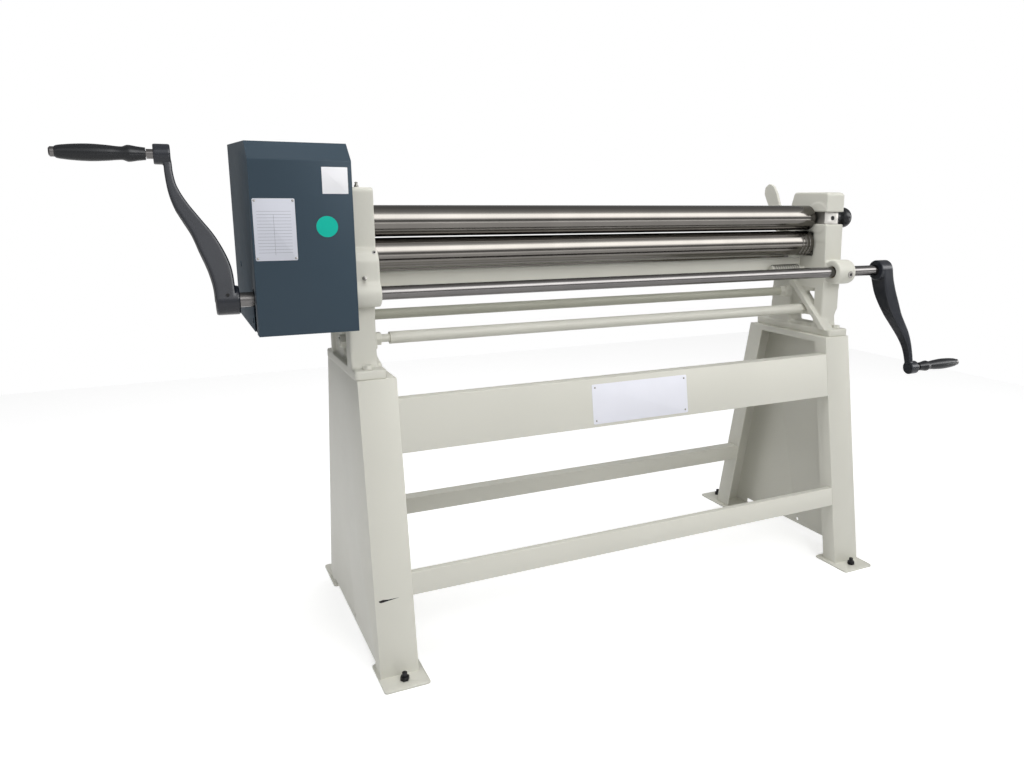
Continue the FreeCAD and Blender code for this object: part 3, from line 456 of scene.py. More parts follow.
# %% Folded sheet and machined parts
FOLD, TIE_FOLD, FOOT_EDGE, STUD_EDGE, CUT_EDGE = 0.0018, 0.0015, 0.0012, 0.001, 0.0008
EDGES = {
    "left_leg": FOLD, "right_leg": FOLD, "front_beam": FOLD,
    "front_lower_tie": TIE_FOLD, "rear_lower_tie": TIE_FOLD,
    "left_front_foot": FOOT_EDGE, "right_front_foot": FOOT_EDGE,
    "left_rear_foot": FOOT_EDGE, "right_rear_foot": FOOT_EDGE,
    "cross_bar": TIE_FOLD, "tie_rod_nuts": CUT_EDGE, "base_bolts": CUT_EDGE,
    "anchor_nuts": CUT_EDGE, "anchor_studs": STUD_EDGE,
    "bearing_block": CUT_EDGE, "gear_cover": CUT_EDGE,
}
# The block that holds the top roll is light steel. Its finish is brighter than the other iron, which is
# painted light that lifts the block out of the shade inside the slot.
SHADE_LIFTED_FINISH = {"bearing_block": "plated_iron"}


def eased(title, width):
    """A solid with every sharp edge eased by a small bevel."""
    settings = {"width": width, "segments": 2, "limit_method": "ANGLE", "angle_limit": SHARP_ANGLE,
                "use_clamp_overlap": True, "harden_normals": True}
    mesh = with_modifiers(clean_copy(title), ("BEVEL", settings))
    finish = SHADE_LIFTED_FINISH.get(title, slots[title])
    item = piece(title + "_eased", mesh, finish, body_of(title))
    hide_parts(title)


for title, width in EDGES.items():
    eased(title, width)
print(len(EDGES), "solids eased")

# %% [markdown]
# ## Smooth tables, skins and a lathe
#
# A crank, a grip and a spring are all made of rings of points, one after another, with faces
# between them. A table of a few measured rows gives each ring its size. Straight lines between
# the rows would leave kinks, so a cubic that keeps the slope of the neighbouring rows is used.


# %% Smooth tables
def along_table(table, place):
    """A smooth value between the rows (place, value) of a table."""
    places = [row[0] for row in table]
    index = max(0, min(len(table) - 2, sum(place >= p for p in places) - 1))
    (p0, v0), (p1, v1) = table[index], table[index + 1]
    before = table[index - 1] if index else (2 * p0 - p1, 2 * v0 - v1)
    after = table[index + 2] if index + 2 < len(table) else (2 * p1 - p0, 2 * v1 - v0)
    slope_in = (v1 - before[1]) / (p1 - before[0]) * (p1 - p0)
    slope_out = (after[1] - v0) / (after[0] - p0) * (p1 - p0)
    t = (place - p0) / (p1 - p0)
    return ((2 * t**3 - 3 * t**2 + 1) * v0 + (t**3 - 2 * t**2 + t) * slope_in
            + (3 * t**2 - 2 * t**3) * v1 + (t**3 - t**2) * slope_out)


print("halfway between 1 and 2:", along_table(((0, 0), (1, 1), (2, 2), (3, 3)), 1.5))


# %% Skins and the lathe
RING_WELD = 0.000001


def skin(form, rings):
    """Faces between rings of equally many points, and a cap at both ends."""
    for first, second in zip(rings, rings[1:]):
        for k in range(len(first)):
            form.faces.new((first[k - 1], first[k], second[k], second[k - 1]))
    form.faces.new(rings[0])
    form.faces.new(rings[-1][::-1])


def in_metres(rows):
    """The rows of a lathe profile, from millimetres."""
    return [(x * MM, radius * MM) for x, radius in rows]


def lathe(form, profile, start=(0, 0, 0), steps=64):
    """A turned shape added to a bmesh: profile rows are (along X, radius)."""
    turn = [math.tau * k / steps for k in range(steps)]
    skin(form, [[form.verts.new((start[0] + x, start[1] + radius * math.cos(a),
                                 start[2] + radius * math.sin(a))) for a in turn]
                for x, radius in profile])


def mesh_from(form, name):
    """The finished mesh of a bmesh, with its faces turned outward."""
    bmesh.ops.remove_doubles(form, verts=form.verts, dist=RING_WELD)
    bmesh.ops.recalc_face_normals(form, faces=form.faces)
    mesh = bpy.data.meshes.new(name)
    form.to_mesh(mesh)
    form.free()
    return mesh


print("rings can be skinned")

# %% [markdown]
# ## Cranks
#
# Each crank is one black casting: a hub on the shaft, a flat arm that bends outward in a long S
# while it tapers, and a boss for the grip. The arm could be cut from a plate along two curves, but
# then it would be equally thick all the way. Here rounded oblongs are set one above another, each
# as wide and as thick as the arm is at that height, and skinned together; the hub and the boss are
# turned, and one fine remesh fuses the three as the mould does.

# %% Arm tables
# Each row is (share of the reach from hub to grip, millimetres).
ARM_INNER = ((0, -15), (0.09, -15), (0.215, -12), (0.325, -2), (0.45, 16), (0.553, 37),
             (0.677, 62), (0.78, 77), (0.865, 82), (0.95, 83))
ARM_OUTER = ((0, 24), (0.065, 24.5), (0.13, 27), (0.225, 34), (0.338, 46), (0.455, 58),
             (0.56, 74), (0.635, 85), (0.742, 94), (0.865, 98), (0.95, 98.5))
ARM_HALF_WIDTH = ((0, 31), (0.195, 27), (0.455, 20), (0.715, 16), (0.95, 13))
ARM_CORNER = 4.0
ARM_LEVELS = 56
ARM_TOP = 0.95
ARM_OFFSET = 100
print("arm thickness at the hub", ARM_OUTER[0][1] - ARM_INNER[0][1], "mm")

# %% Rounded oblongs and drums
OBLONG_STEPS = 4


def oblong(low, high, half, corner):
    """The corners of a rounded oblong, round once."""
    points = []
    for x, y, first in ((high - corner, half - corner, 0), (low + corner, half - corner, 90),
                        (low + corner, corner - half, 180), (high - corner, corner - half, 270)):
        for k in range(OBLONG_STEPS + 1):
            turn = math.radians(first + 90 * k / OBLONG_STEPS)
            points.append((x + corner * math.cos(turn), y + corner * math.sin(turn)))
    return points


def drum(radius, half, chamfer):
    """The lathe profile of a drum with chamfered rims."""
    return in_metres(((-half, radius - chamfer), (chamfer - half, radius),
                      (half - chamfer, radius), (half, radius - chamfer)))


print("an oblong has", len(oblong(0, 10, 5, 1)), "points")

# %% Cranks
HUB_RADIUS, HUB_HALF, HUB_CHAMFER = 31.0, 23.0, 2
BOSS_RADIUS, BOSS_HALF, BOSS_CHAMFER = 21.0, 16.0, 1.5
CRANK_VOXEL, CRANK_PASSES = 0.0015, 6


def crank(word, side, hub_along, offset):
    """One crank, from the line of the hand shaft to the line of its grip."""
    grip_line = Vector(joints[word + "_grip_spin"]["pos_m"])
    reach_line = Vector((0, grip_line.y - shaft_line.y, grip_line.z - shaft_line.z))
    reach = reach_line.length / MM
    form = bmesh.new()
    rings = []
    for level in range(ARM_LEVELS + 1):
        share = ARM_TOP * level / ARM_LEVELS
        shift = (offset - ARM_OFFSET) * share
        outline = oblong(along_table(ARM_INNER, share) + shift, along_table(ARM_OUTER, share) + shift,
                         along_table(ARM_HALF_WIDTH, share), ARM_CORNER)
        rings.append([form.verts.new((side * x * MM, y * MM, share * reach * MM))
                      for x, y in outline])
    skin(form, rings)
    lathe(form, drum(HUB_RADIUS, HUB_HALF, HUB_CHAMFER))
    lathe(form, drum(BOSS_RADIUS, BOSS_HALF, BOSS_CHAMFER), (side * offset * MM, 0, reach * MM))
    up = reach_line.normalized()
    across = up.cross(Vector((1, 0, 0)))
    turned = Matrix((Vector((1, 0, 0)), across, up)).transposed().to_4x4()
    mesh = mesh_from(form, word + "_crank_form")
    mesh.transform(Matrix.Translation(at(hub_along, SHAFT_BACK, SHAFT_UP)) @ turned)
    item = piece(word + "_crank_cast", smoothed(mesh, CRANK_VOXEL, CRANK_PASSES), "crank_black",
                 body_of(word + "_crank"), CAST_SMOOTH)
    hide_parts(word + "_crank")
    print(item.name, "reaches", round(reach), "mm")


# Each row is the side, the hub's place along the rolls, and how far out the boss stands from it.
CRANKS = {"left": (-1, -1009, 100), "right": (1, 898, 107)}
for word, row in CRANKS.items():
    crank(word, *row)

# %% [markdown]
# ## Grips and knob
#
# The grips and the release knob are turned, so a lathe is the natural tool: a profile of lengths
# and radii, smoothed between its rows, is spun round the axis. A grip swells for the palm, draws in
# behind a collar at the hand's edge and ends narrow, and it spins on a bolt that stays in the boss.

# %% Grips
# Each row of GRIP is (share of the grip's length, radius in millimetres).
GRIP = ((0.072, 12.6), (0.10, 13.2), (0.16, 14.6), (0.22, 16.6), (0.25, 16.9), (0.275, 15.4),
        (0.30, 13.6), (0.36, 13.9), (0.45, 15.6), (0.61, 17.2), (0.764, 16.2), (0.89, 13.8),
        (0.935, 12.0), (0.945, 10.4))
# Each row of GRIPS is the side, the length, and the place along the rolls where the grip starts.
GRIPS = {"left": (-1, 182, -1125), "right": (1, 200, 1021)}
GRIP_CUTS, TURNED_STEPS, TURNED_SMOOTH = 72, 72, 50.0


def smooth_profile(table, cuts):
    """A lathe profile with smooth rows between the rows of a table."""
    first, last = table[0][0], table[-1][0]
    places = [first + (last - first) * k / cuts for k in range(cuts + 1)]
    return [(place, along_table(table, place)) for place in places]


for word, (side, length, start) in GRIPS.items():
    line = Vector(joints[word + "_grip_spin"]["pos_m"])
    form = bmesh.new()
    rows = [(side * share * length * MM, radius * MM)
            for share, radius in smooth_profile(GRIP, GRIP_CUTS)]
    lathe(form, rows, (at(start, 0, 0).x, line.y, line.z), TURNED_STEPS)
    item = piece(word + "_grip_turned", mesh_from(form, word + "_grip"), "grip_black",
                 body_of(word + "_grip"), TURNED_SMOOTH)
    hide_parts(word + "_grip")
print(len(GRIPS), "grips turned")

# %% Release knob
KNOB = ((746, 17), (750, 17), (800, 17), (805, 18.5), (811, 26), (817, 30), (824, 31.5),
        (832, 31), (840, 27), (846, 20), (849, 10))
KNOB_CUTS = 60
form = bmesh.new()
lathe(form, in_metres(smooth_profile(KNOB, KNOB_CUTS)), (middle.x, middle.y, middle.z), TURNED_STEPS)
item = piece("release_knob_turned", mesh_from(form, "release_knob"), "grip_black",
             body_of("release_knob"), TURNED_SMOOTH)
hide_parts("release_knob")
print("knob across", 2 * max(radius for _, radius in KNOB), "mm")

# %% [markdown]
# ## Coil spring
#
# A buffer spring sits on a short rod beside the right frame. Its wire is a circle carried round a
# helix: each ring of the wire stands square to the helix's direction, and the rings are skinned.
# A Screw modifier could wind it too, but it would turn the wire's circle slantwise.

# %% Spring
WIRE_RADIUS, COIL_RADIUS, SPRING_PITCH = 1.25, 12.4, 9.2
SPRING_LEFT, SPRING_RIGHT, SPRING_BACK, SPRING_UP = 562, 662, 14, 908
TURN_STEPS, WIRE_STEPS, WIRE_SMOOTH = 22, 8, 60.0
wire_turn = [math.tau * k / WIRE_STEPS for k in range(WIRE_STEPS)]
form = bmesh.new()
turns = (SPRING_RIGHT - SPRING_LEFT - 2 * WIRE_RADIUS) / SPRING_PITCH
rings = []
for step in range(int(turns * TURN_STEPS) + 1):
    angle = math.tau * step / TURN_STEPS
    out = Vector((0, math.cos(angle), math.sin(angle)))
    ahead = Vector((SPRING_PITCH / math.tau, -COIL_RADIUS * math.sin(angle),
                    COIL_RADIUS * math.cos(angle))).normalized()
    beside = ahead.cross(out)
    along = SPRING_LEFT + WIRE_RADIUS + SPRING_PITCH * step / TURN_STEPS
    centre = at(along, SPRING_BACK, SPRING_UP) + out * COIL_RADIUS * MM
    rings.append([form.verts.new(centre + (out * math.cos(a) + beside * math.sin(a)) * WIRE_RADIUS * MM)
                  for a in wire_turn])
skin(form, rings)
item = piece("buffer_spring_coil", mesh_from(form, "buffer_spring"), "block_iron",
             body_of("buffer_spring"), WIRE_SMOOTH)
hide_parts("buffer_spring")
print("spring of", round(turns, 1), "turns")

# %% [markdown]
# ## Plates and labels
#
# A name plate is riveted to the beam, a data plate to the gear cover, and two small labels sit
# beside it. They are bare here: a plate without words still shows where the maker's would go. Each
# is a rounded rectangle with a little thickness, laid on its face by a matrix of three directions,
# across, upward and outward. A flat picture plane would have no edge to catch the light.


# %% Placing flat things
def facing_front(along, back, up, lean=0.0):
    """The placing of something on a front face that leans back by lean for each step up."""
    upward = Vector((0, lean, 1)).normalized()
    across = Vector((1, 0, 0))
    turn = Matrix((across, upward, across.cross(upward))).transposed().to_4x4()
    return Matrix.Translation(at(along, back, up)) @ turn


def shifted(placing, across, upward, outward):
    """A placing moved within its own directions, in millimetres."""
    return placing @ Matrix.Translation((across * MM, upward * MM, outward * MM))


def four_corners(placing, half_across, half_up, outward):
    """Placings at the four corners of a plate."""
    return [shifted(placing, x * half_across, y * half_up, outward) for x in (-1, 1) for y in (-1, 1)]


print("a plate has", len(four_corners(facing_front(0, 0, 0), 1, 1, 0)), "corners")

# %% Plates and turned heads
RIM_SHARE = 0.3
HEAD_SMOOTH = 40.0
SIDEWAYS = Matrix.Rotation(math.radians(-90), 4, "Y")


def thickened(form, face, height):
    """A flat face drawn up into a slab, by a height in metres."""
    grown = bmesh.ops.extrude_face_region(form, geom=[face])
    rim = [item for item in grown["geom"] if isinstance(item, bmesh.types.BMVert)]
    bmesh.ops.translate(form, verts=rim, vec=(0, 0, height))


def plate(name, placing, width, height, thickness, corner, finish, host):
    """A thin plate with rounded corners, its middle on the placing."""
    form = bmesh.new()
    outline = oblong(-width / 2, width / 2, height / 2, corner)
    face = form.faces.new([form.verts.new((x * MM, y * MM, 0)) for x, y in outline])
    thickened(form, face, thickness * MM)
    bevel = {"width": thickness * RIM_SHARE * MM, "segments": 2, "limit_method": "ANGLE"}
    mesh = with_modifiers(mesh_from(form, name), ("BEVEL", bevel))
    mesh.transform(placing)
    return piece(name, mesh, finish, body_of(host))


def heads(name, placings, profile, finish, host, steps=24):
    """A mesh of small turned heads, each standing out from its placing, as one piece."""
    form = bmesh.new()
    for placing in placings:
        fresh = bmesh.new()
        lathe(fresh, in_metres(profile), steps=steps)
        bmesh.ops.transform(fresh, matrix=placing @ SIDEWAYS, verts=fresh.verts)
        carried = bpy.data.meshes.new("head")
        fresh.to_mesh(carried)
        fresh.free()
        form.from_mesh(carried)
    return piece(name, mesh_from(form, name), finish, body_of(host), HEAD_SMOOTH)


RIVET = ((0, 2.6), (0.5, 2.5), (1.1, 1.9), (1.5, 0.8))
print("a rivet head is", 2 * RIVET[0][1], "mm across")

# %% Name plate on the beam
BEAM_FRONT_TOP, BEAM_LEAN = (-133.6, 705), 0.138
PLATE_LEFT, PLATE_RIGHT, PLATE_LOW, PLATE_TOP = -152, 145, 535, 640
PLATE_THICK, PLATE_CORNER, RIVET_INSET = 1.2, 4, 9


def beam_back(up):
    """How far back the leaning front of the stand is at a height."""
    return BEAM_FRONT_TOP[0] - BEAM_LEAN * (BEAM_FRONT_TOP[1] - up)


plate_up = (PLATE_LOW + PLATE_TOP) / 2
placing = facing_front((PLATE_LEFT + PLATE_RIGHT) / 2, beam_back(plate_up), plate_up, BEAM_LEAN)
width, height = PLATE_RIGHT - PLATE_LEFT, (PLATE_TOP - PLATE_LOW) * math.hypot(1, BEAM_LEAN)
plate("name_plate", placing, width, height, PLATE_THICK, PLATE_CORNER, "plate_silver", "front_beam")
corners = four_corners(placing, width / 2 - RIVET_INSET, height / 2 - RIVET_INSET, PLATE_THICK)
heads("name_plate_rivets", corners, RIVET, "block_iron", "front_beam")
print("name plate", round(width), "by", round(height), "mm")

# %% Data plate on the gear cover
COVER_FRONT = -168
DATA_LEFT, DATA_RIGHT, DATA_LOW, DATA_TOP = -953, -869, 988, 1117
DATA_THICK, DATA_CORNER, RIVET_ACROSS, RIVET_UP = 0.8, 3, 38, 60
RULES, RULE_PITCH, RULE_MIDDLE, RULE_TOP, RULE_LONG = 14, 6.6, -1, 38, 68
RULE_WIDE, RULE_THICK, RULE_CORNER = 0.5, 0.05, 0.2
UPRIGHT_AT, UPRIGHT_LONG = (-2, -11), 84
data = facing_front((DATA_LEFT + DATA_RIGHT) / 2, COVER_FRONT, (DATA_LOW + DATA_TOP) / 2)
plate("data_plate", data, DATA_RIGHT - DATA_LEFT, DATA_TOP - DATA_LOW, DATA_THICK, DATA_CORNER,
      "data_silver", "gear_cover")
corners = four_corners(data, RIVET_ACROSS, RIVET_UP, DATA_THICK)
heads("data_plate_rivets", corners, RIVET, "block_iron", "gear_cover")
for number in range(RULES):
    rule = shifted(data, RULE_MIDDLE, RULE_TOP - RULE_PITCH * number, DATA_THICK)
    plate("data_rule_" + str(number), rule, RULE_LONG, RULE_WIDE, RULE_THICK, RULE_CORNER,
          "rule_ink", "gear_cover")
plate("data_rule_upright", shifted(data, *UPRIGHT_AT, DATA_THICK), RULE_WIDE, UPRIGHT_LONG,
      RULE_THICK, RULE_CORNER, "rule_ink", "gear_cover")
print("data plate with", RULES, "rules")

# %% Two labels on the gear cover
SQUARE_WIDE, SQUARE_HIGH, SQUARE_THICK, SQUARE_CORNER = 54, 56, 0.3, 1
ROUND_LABEL, ROUND_STEPS = ((0, 22.5), (0.25, 22.5), (0.3, 22)), 64
square_place = facing_front(-784, COVER_FRONT, 1155)
plate("square_label", square_place, SQUARE_WIDE, SQUARE_HIGH, SQUARE_THICK, SQUARE_CORNER,
      "label_white", "gear_cover")
round_place = facing_front(-805.2, COVER_FRONT, 1057.8)
heads("round_label", [round_place], ROUND_LABEL, "label_green", "gear_cover", steps=ROUND_STEPS)
print("labels", SQUARE_WIDE, "mm wide and", 2 * ROUND_LABEL[0][1], "mm across")

# %% [markdown]
# ## Screws and small marks
#
# A socket screw clamps the bush in the right boss, a grub screw sits in the left frame, the top
# roll's block has an eye for its pin, and a pin goes through the left crank. A boolean could bore
# the holes, but at this size the shade inside a hole is what the eye reads, so each head gets a
# thin dark disc for its recess.

# %% Screws
SOCKET = ((0, 10), (1.6, 10), (2.2, 9.4), (2.2, 5.2))
SOCKET_FLOOR = ((0, 5.2), (0.6, 5.2))
GRUB = ((0, 5), (0.9, 5), (1.3, 4.5), (1.3, 3))
GRUB_FLOOR = ((0, 3), (0.4, 3))
SOCKET_DEEP, GRUB_DEEP = 2.0, 1.1
SCREW_STEPS, HEXAGON = 48, 6
boss = facing_front(735, -144.6, 896.6)
heads("boss_screw", [boss], SOCKET, "block_iron", "right_side_frame", SCREW_STEPS)
heads("boss_screw_recess", [shifted(boss, 0, 0, SOCKET_DEEP)], SOCKET_FLOOR, "dark_hole",
      "right_side_frame", HEXAGON)
cheek = facing_front(-695.2, -112.2, 996.7, 0.545)
heads("frame_grub_screw", [cheek], GRUB, "plated_iron", "left_side_frame")
heads("frame_grub_recess", [shifted(cheek, 0, 0, GRUB_DEEP)], GRUB_FLOOR, "dark_hole",
      "left_side_frame", HEXAGON)
print("two screws set")

# %% Painted shade for the eye of the block and the pin hole of the crank
EYE_SHADE = ((0, 6.6), (0.2, 6.6))
PIN_SHADE = ((0, 3.4), (0.3, 3.4))
PIN_HOLE_ALONG, PIN_HOLE_UP, PIN_HOLE_PROUD = -1010, 917.5, 0.4
heads("block_eye_shade", [facing_front(722.5, -67.9, TOP_ROLL_UP)], EYE_SHADE, "dark_hole",
      "bearing_block")
crank_front = facing_front(PIN_HOLE_ALONG, SHAFT_BACK - HUB_RADIUS - PIN_HOLE_PROUD, PIN_HOLE_UP)
heads("crank_pin_hole_shade", [crank_front], PIN_SHADE, "dark_hole", "left_crank")
print("eye", 2 * EYE_SHADE[0][1], "mm and pin hole", 2 * PIN_SHADE[0][1], "mm across")

# %% [markdown]
# ## Grease nipples
#
# Each bearing is greased through a small nipple: a hexagon, a neck and a round head that the gun
# snaps onto. At this size the turned outline says it all, so both nipples are one lathe profile,
# one facing the front of the left frame and one standing on its head.

# %% Grease nipples
NIPPLE = ((0, 5.2), (5, 5.2), (5.6, 4.6), (6.2, 3.2), (9.5, 3.0), (10.4, 3.6), (11.6, 3.6),
          (12.6, 2.6), (13, 1.2))
front_nipple = facing_front(-722, -122.6, 940)
head_nipple = Matrix.Translation(at(-713, -40, 1142.5))
item = heads("grease_nipples_turned", [front_nipple, head_nipple], NIPPLE, "plated_iron",
             "grease_nipples")
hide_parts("grease_nipples")
print("nipples", NIPPLE[-1][0], "mm long")

# %% [markdown]
# ## Slit in the left leg
#
# Where the leg's sheet is folded and its seam ends, a narrow dark slit stays open at the front.
# Cutting it out of the sheet would show nothing more than shade, so it is a thin dark shape laid on
# the leaning front: painted shade, with the ragged outline that a seam has.

# %% Slit
SLIT = ((-743.5, 190.5), (-741, 186.5), (-736.5, 185.4), (-724, 187), (-694, 190.2),
        (-722, 190.6), (-733, 192.2))
SLIT_PROUD = 0.15
form = bmesh.new()
form.faces.new([form.verts.new(at(x, beam_back(up) - SLIT_PROUD, up)) for x, up in SLIT])
piece("leg_seam_slit", mesh_from(form, "leg_seam_slit"), "dark_hole", body_of("left_leg"))
print("slit", round(SLIT[4][0] - SLIT[0][0], 1), "mm long")

# %% [markdown]
# ## Floor of the gear cover
#
# The cover is a folded box whose underside is closed by a sheet, so that no light falls through
# past the gears. One rectangle drawn up by the sheet's thickness is all it needs, because only
# its edge is ever seen.

# %% Cover floor
ROOM_LEFT, ROOM_RIGHT, ROOM_FRONT, ROOM_BACK = -955, -757, -166, 288
SHEET_LOW, SHEET_TOP = 829, 830.5
form = bmesh.new()
sheet = form.faces.new([form.verts.new(at(x, y, SHEET_LOW))
                        for x, y in ((ROOM_LEFT, ROOM_FRONT), (ROOM_RIGHT, ROOM_FRONT),
                                     (ROOM_RIGHT, ROOM_BACK), (ROOM_LEFT, ROOM_BACK))])
thickened(form, sheet, (SHEET_TOP - SHEET_LOW) * MM)
piece("gear_cover_floor", mesh_from(form, "gear_cover_floor"), "cover_paint", body_of("gear_cover"))
print("cover closed by", SHEET_TOP - SHEET_LOW, "mm of sheet")

# %% [markdown]
# ## Floor
#
# The floor is a pale plane that takes the machine's soft shadow. To the camera and to polished
# metal it also glows a little, so that it meets the white room without a line; matt surfaces
# see only the plain floor, and so no extra light reaches the machine from below.

# %% Node helpers for rays and mixes
WHITE = (1, 1, 1, 1)


def maths(tree, kind, first, second=0.0):
    """The output of a Math node; each value is a number or another node's output."""
    node = tree.nodes.new("ShaderNodeMath")
    node.operation = kind
    for socket, value in zip(node.inputs, (first, second)):
        if isinstance(value, float):
            socket.default_value = value
        else:
            tree.links.new(value, socket)
    return node.outputs[0]


def either(tree, factor, first, second):
    """The first shader where the factor is 0 and the second where it is 1."""
    mix = add(tree, "ShaderNodeMixShader", Fac=factor)
    tree.links.new(first.outputs[0], mix.inputs[1])
    tree.links.new(second.outputs[0], mix.inputs[2])
    return mix


print("shaders can be chosen by the kind of ray")

# %% Floor
FLOOR_HALF, FLOOR_GREY, FLOOR_ROUGH, FLOOR_GLOW = 3.6, 0.75, 0.9, 0.55
floor_mesh = bpy.data.meshes.new("floor")
form = bmesh.new()
bmesh.ops.create_grid(form, x_segments=1, y_segments=1, size=FLOOR_HALF)
form.to_mesh(floor_mesh)
form.free()
floor = bpy.data.objects.new("floor", floor_mesh)
bpy.context.scene.collection.objects.link(floor)
material, tree, shader = new_finish("pale_floor")
shader.inputs["Base Color"].default_value = (FLOOR_GREY, FLOOR_GREY, FLOOR_GREY, 1)
shader.inputs["Roughness"].default_value = FLOOR_ROUGH
shader.inputs["Specular IOR Level"].default_value = 0.0
glow = add(tree, "ShaderNodeEmission", Color=WHITE, Strength=FLOOR_GLOW)
both = add(tree, "ShaderNodeAddShader")
tree.links.new(shader.outputs[0], both.inputs[0])
tree.links.new(glow.outputs[0], both.inputs[1])
rays = add(tree, "ShaderNodeLightPath").outputs
polished = maths(tree, "MAXIMUM", rays["Is Glossy Ray"], rays["Is Transmission Ray"])
shown = maths(tree, "MAXIMUM", rays["Is Camera Ray"], polished)
choose = either(tree, shown, shader, both)
tree.links.new(choose.outputs[0], tree.nodes["Material Output"].inputs["Surface"])
floor_mesh.materials.append(material)
print("floor", 2 * FLOOR_HALF, "m across")

# %% [markdown]
# ## World
#
# The world answers each kind of ray in its own way: the camera sees plain white, matt surfaces
# gather an even light, and polished surfaces mirror a studio of long soft bands that run level
# with the rolls. Real softboxes could stand round the machine, but these bands are finer, and
# they light nothing else. A band's place is its angle round the rolls' line, from straight ahead
# over the top to straight behind; toward the right a long bright softbox stands in front.

# %% Bands that polished metal mirrors
# Each row is (share of the half turn from ahead to behind, brightness).
ROOM = ((0.0, 0.5), (0.08, 0.55), (0.13, 1.0), (0.2, 0.9), (0.3, 0.4), (0.6, 0.22), (0.9, 0.12),
        (1.0, 0.1))
SOFTBOX = ((0.0, 0.05), (0.04, 0.08), (0.09, 0.6), (0.13, 1.0), (0.25, 1.0), (0.31, 0.28),
           (0.4, 0.13), (0.6, 0.06), (0.9, 0.04), (1.0, 0.03))
ROOM_STRENGTH, SOFTBOX_STRENGTH = 1.9, 6.2
world = bpy.data.worlds.new("studio")
bpy.context.scene.world = world
world.use_nodes = True
tree = world.node_tree
tree.nodes.clear()
parts = add(tree, "ShaderNodeSeparateXYZ",
            Vector=add(tree, "ShaderNodeTexCoord").outputs["Generated"]).outputs
turn = maths(tree, "ARCTAN2", maths(tree, "ABSOLUTE", parts["Z"]),
             maths(tree, "MULTIPLY", parts["Y"], -1.0))
half_turn = add(tree, "ShaderNodeMapRange", Value=turn, From_Min=0.0, From_Max=math.pi).outputs[0]


def banded(marks):
    """A ramp of (share, brightness) over the half turn round the rolls' line."""
    bands = add(tree, "ShaderNodeValToRGB", Fac=half_turn)
    while len(bands.color_ramp.elements) < len(marks):
        bands.color_ramp.elements.new(0.5)
    for element, (position, level) in zip(bands.color_ramp.elements, marks):
        element.position = position
        element.color = (level, level, level, 1)
    return bands.outputs[0]


room = add(tree, "ShaderNodeBackground", Color=banded(ROOM), Strength=ROOM_STRENGTH)
softbox = add(tree, "ShaderNodeBackground", Color=banded(SOFTBOX), Strength=SOFTBOX_STRENGTH)
print("world of", len(ROOM) + len(SOFTBOX), "band marks")

# %% What each ray sees
EVEN_LIGHT = 0.4
RIGHT_START, RIGHT_FULL = 0.12, 0.2
even = add(tree, "ShaderNodeBackground", Color=WHITE, Strength=EVEN_LIGHT)
white = add(tree, "ShaderNodeBackground", Color=WHITE, Strength=1.0)
to_right = add(tree, "ShaderNodeMapRange", Value=parts["X"], From_Min=RIGHT_START,
               From_Max=RIGHT_FULL).outputs[0]
rays = add(tree, "ShaderNodeLightPath").outputs
mirrored = either(tree, to_right, room, softbox)
lit = either(tree, rays["Is Glossy Ray"], even, mirrored)
straight = maths(tree, "MAXIMUM", rays["Is Camera Ray"], rays["Is Transmission Ray"])
seen = either(tree, straight, lit, white)
add(tree, "ShaderNodeOutputWorld", Surface=seen.outputs[0])
print("even light of", EVEN_LIGHT)

# %% [markdown]
# ## Lamps
#
# Three large soft lamps shape the machine: one in front, a weak one at the left and one above.
# Large areas give the soft shading of a studio, where a point or a sun would cut hard shadows.
# They are hidden from polished metal, which mirrors the world's bands instead.


# %% Lamps
def lamp(name, place, target, size, power):
    """A soft rectangular lamp that faces a point on the machine."""
    light = bpy.data.lights.new(name, "AREA")
    light.shape = "RECTANGLE"
    light.size, light.size_y = size
    light.energy = power
    item = bpy.data.objects.new(name, light)
    bpy.context.scene.collection.objects.link(item)
    item.location = place
    item.rotation_euler = (Vector(target) - Vector(place)).to_track_quat("-Z", "Y").to_euler()
    item.visible_glossy = False


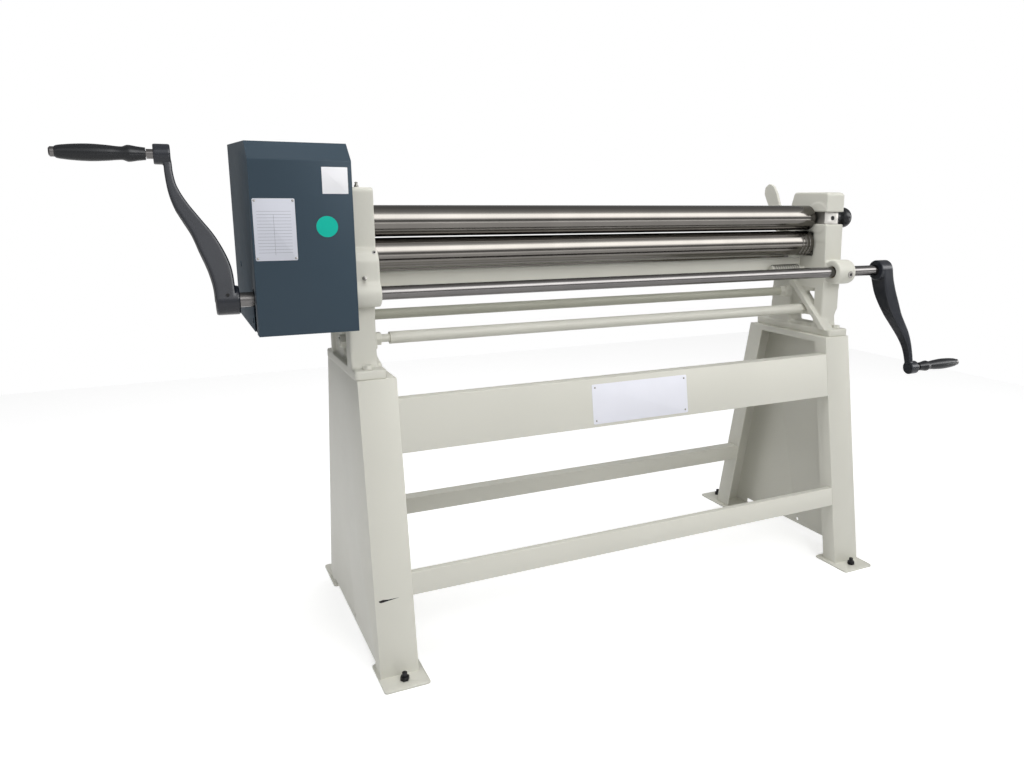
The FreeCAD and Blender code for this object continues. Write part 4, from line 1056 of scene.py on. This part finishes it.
# Each row is place, target and size in metres, and power in watts.
LAMPS = {
    "front_softbox": ((0.2, -4.8, 3.2), (0, 0, 0.8), (3.2, 2.2), 92),
    "left_softbox": ((-4.2, -1.5, 2.6), (0, 0, 0.9), (2.4, 2.0), 10),
    "top_softbox": ((-0.5, -0.4, 3.8), (0.1, 0, 0.8), (2.5, 2.5), 68),
}
for name, row in LAMPS.items():
    lamp(name, *row)
print(len(LAMPS), "lamps")

# %% [markdown]
# ## Camera
#
# The camera stands in front at the left, a little above the rolls, and looks slightly down. Its
# directions come from three angles, the lens from a focal length in pixels, and the shift from
# the pixel that the lens's axis meets. Tracking a target would be shorter, but it can't roll the
# camera or move its axis away from the middle of the picture.

# %% Camera
EYE = at(-1131.5, -2039.5, 1114.7)
YAW, PITCH, ROLL = 0.480, -0.192, 0.004
PICTURE_WIDTH, PICTURE_HEIGHT = 1024, 768
FOCAL_PIXELS = 832.05
AXIS_PIXEL = (594.18, 362.49)
SENSOR_WIDTH = 36
ahead = Vector((math.sin(YAW) * math.cos(PITCH), math.cos(YAW) * math.cos(PITCH), math.sin(PITCH)))
level_right = Vector((math.cos(YAW), -math.sin(YAW), 0))
level_up = level_right.cross(ahead)
right = level_right * math.cos(ROLL) + level_up * math.sin(ROLL)
up = level_up * math.cos(ROLL) - level_right * math.sin(ROLL)
view = bpy.data.cameras.new("view")
view.sensor_width = SENSOR_WIDTH
view.lens = FOCAL_PIXELS * SENSOR_WIDTH / PICTURE_WIDTH
view.shift_x = (PICTURE_WIDTH / 2 - AXIS_PIXEL[0]) / PICTURE_WIDTH
view.shift_y = (AXIS_PIXEL[1] - PICTURE_HEIGHT / 2) / PICTURE_WIDTH
camera = bpy.data.objects.new("view", view)
bpy.context.scene.collection.objects.link(camera)
camera.matrix_world = Matrix.Translation(EYE) @ Matrix((right, up, -ahead)).transposed().to_4x4()
bpy.context.scene.camera = camera
bpy.context.scene.view_settings.view_transform = "Standard"
print("lens", round(view.lens, 2), "mm")
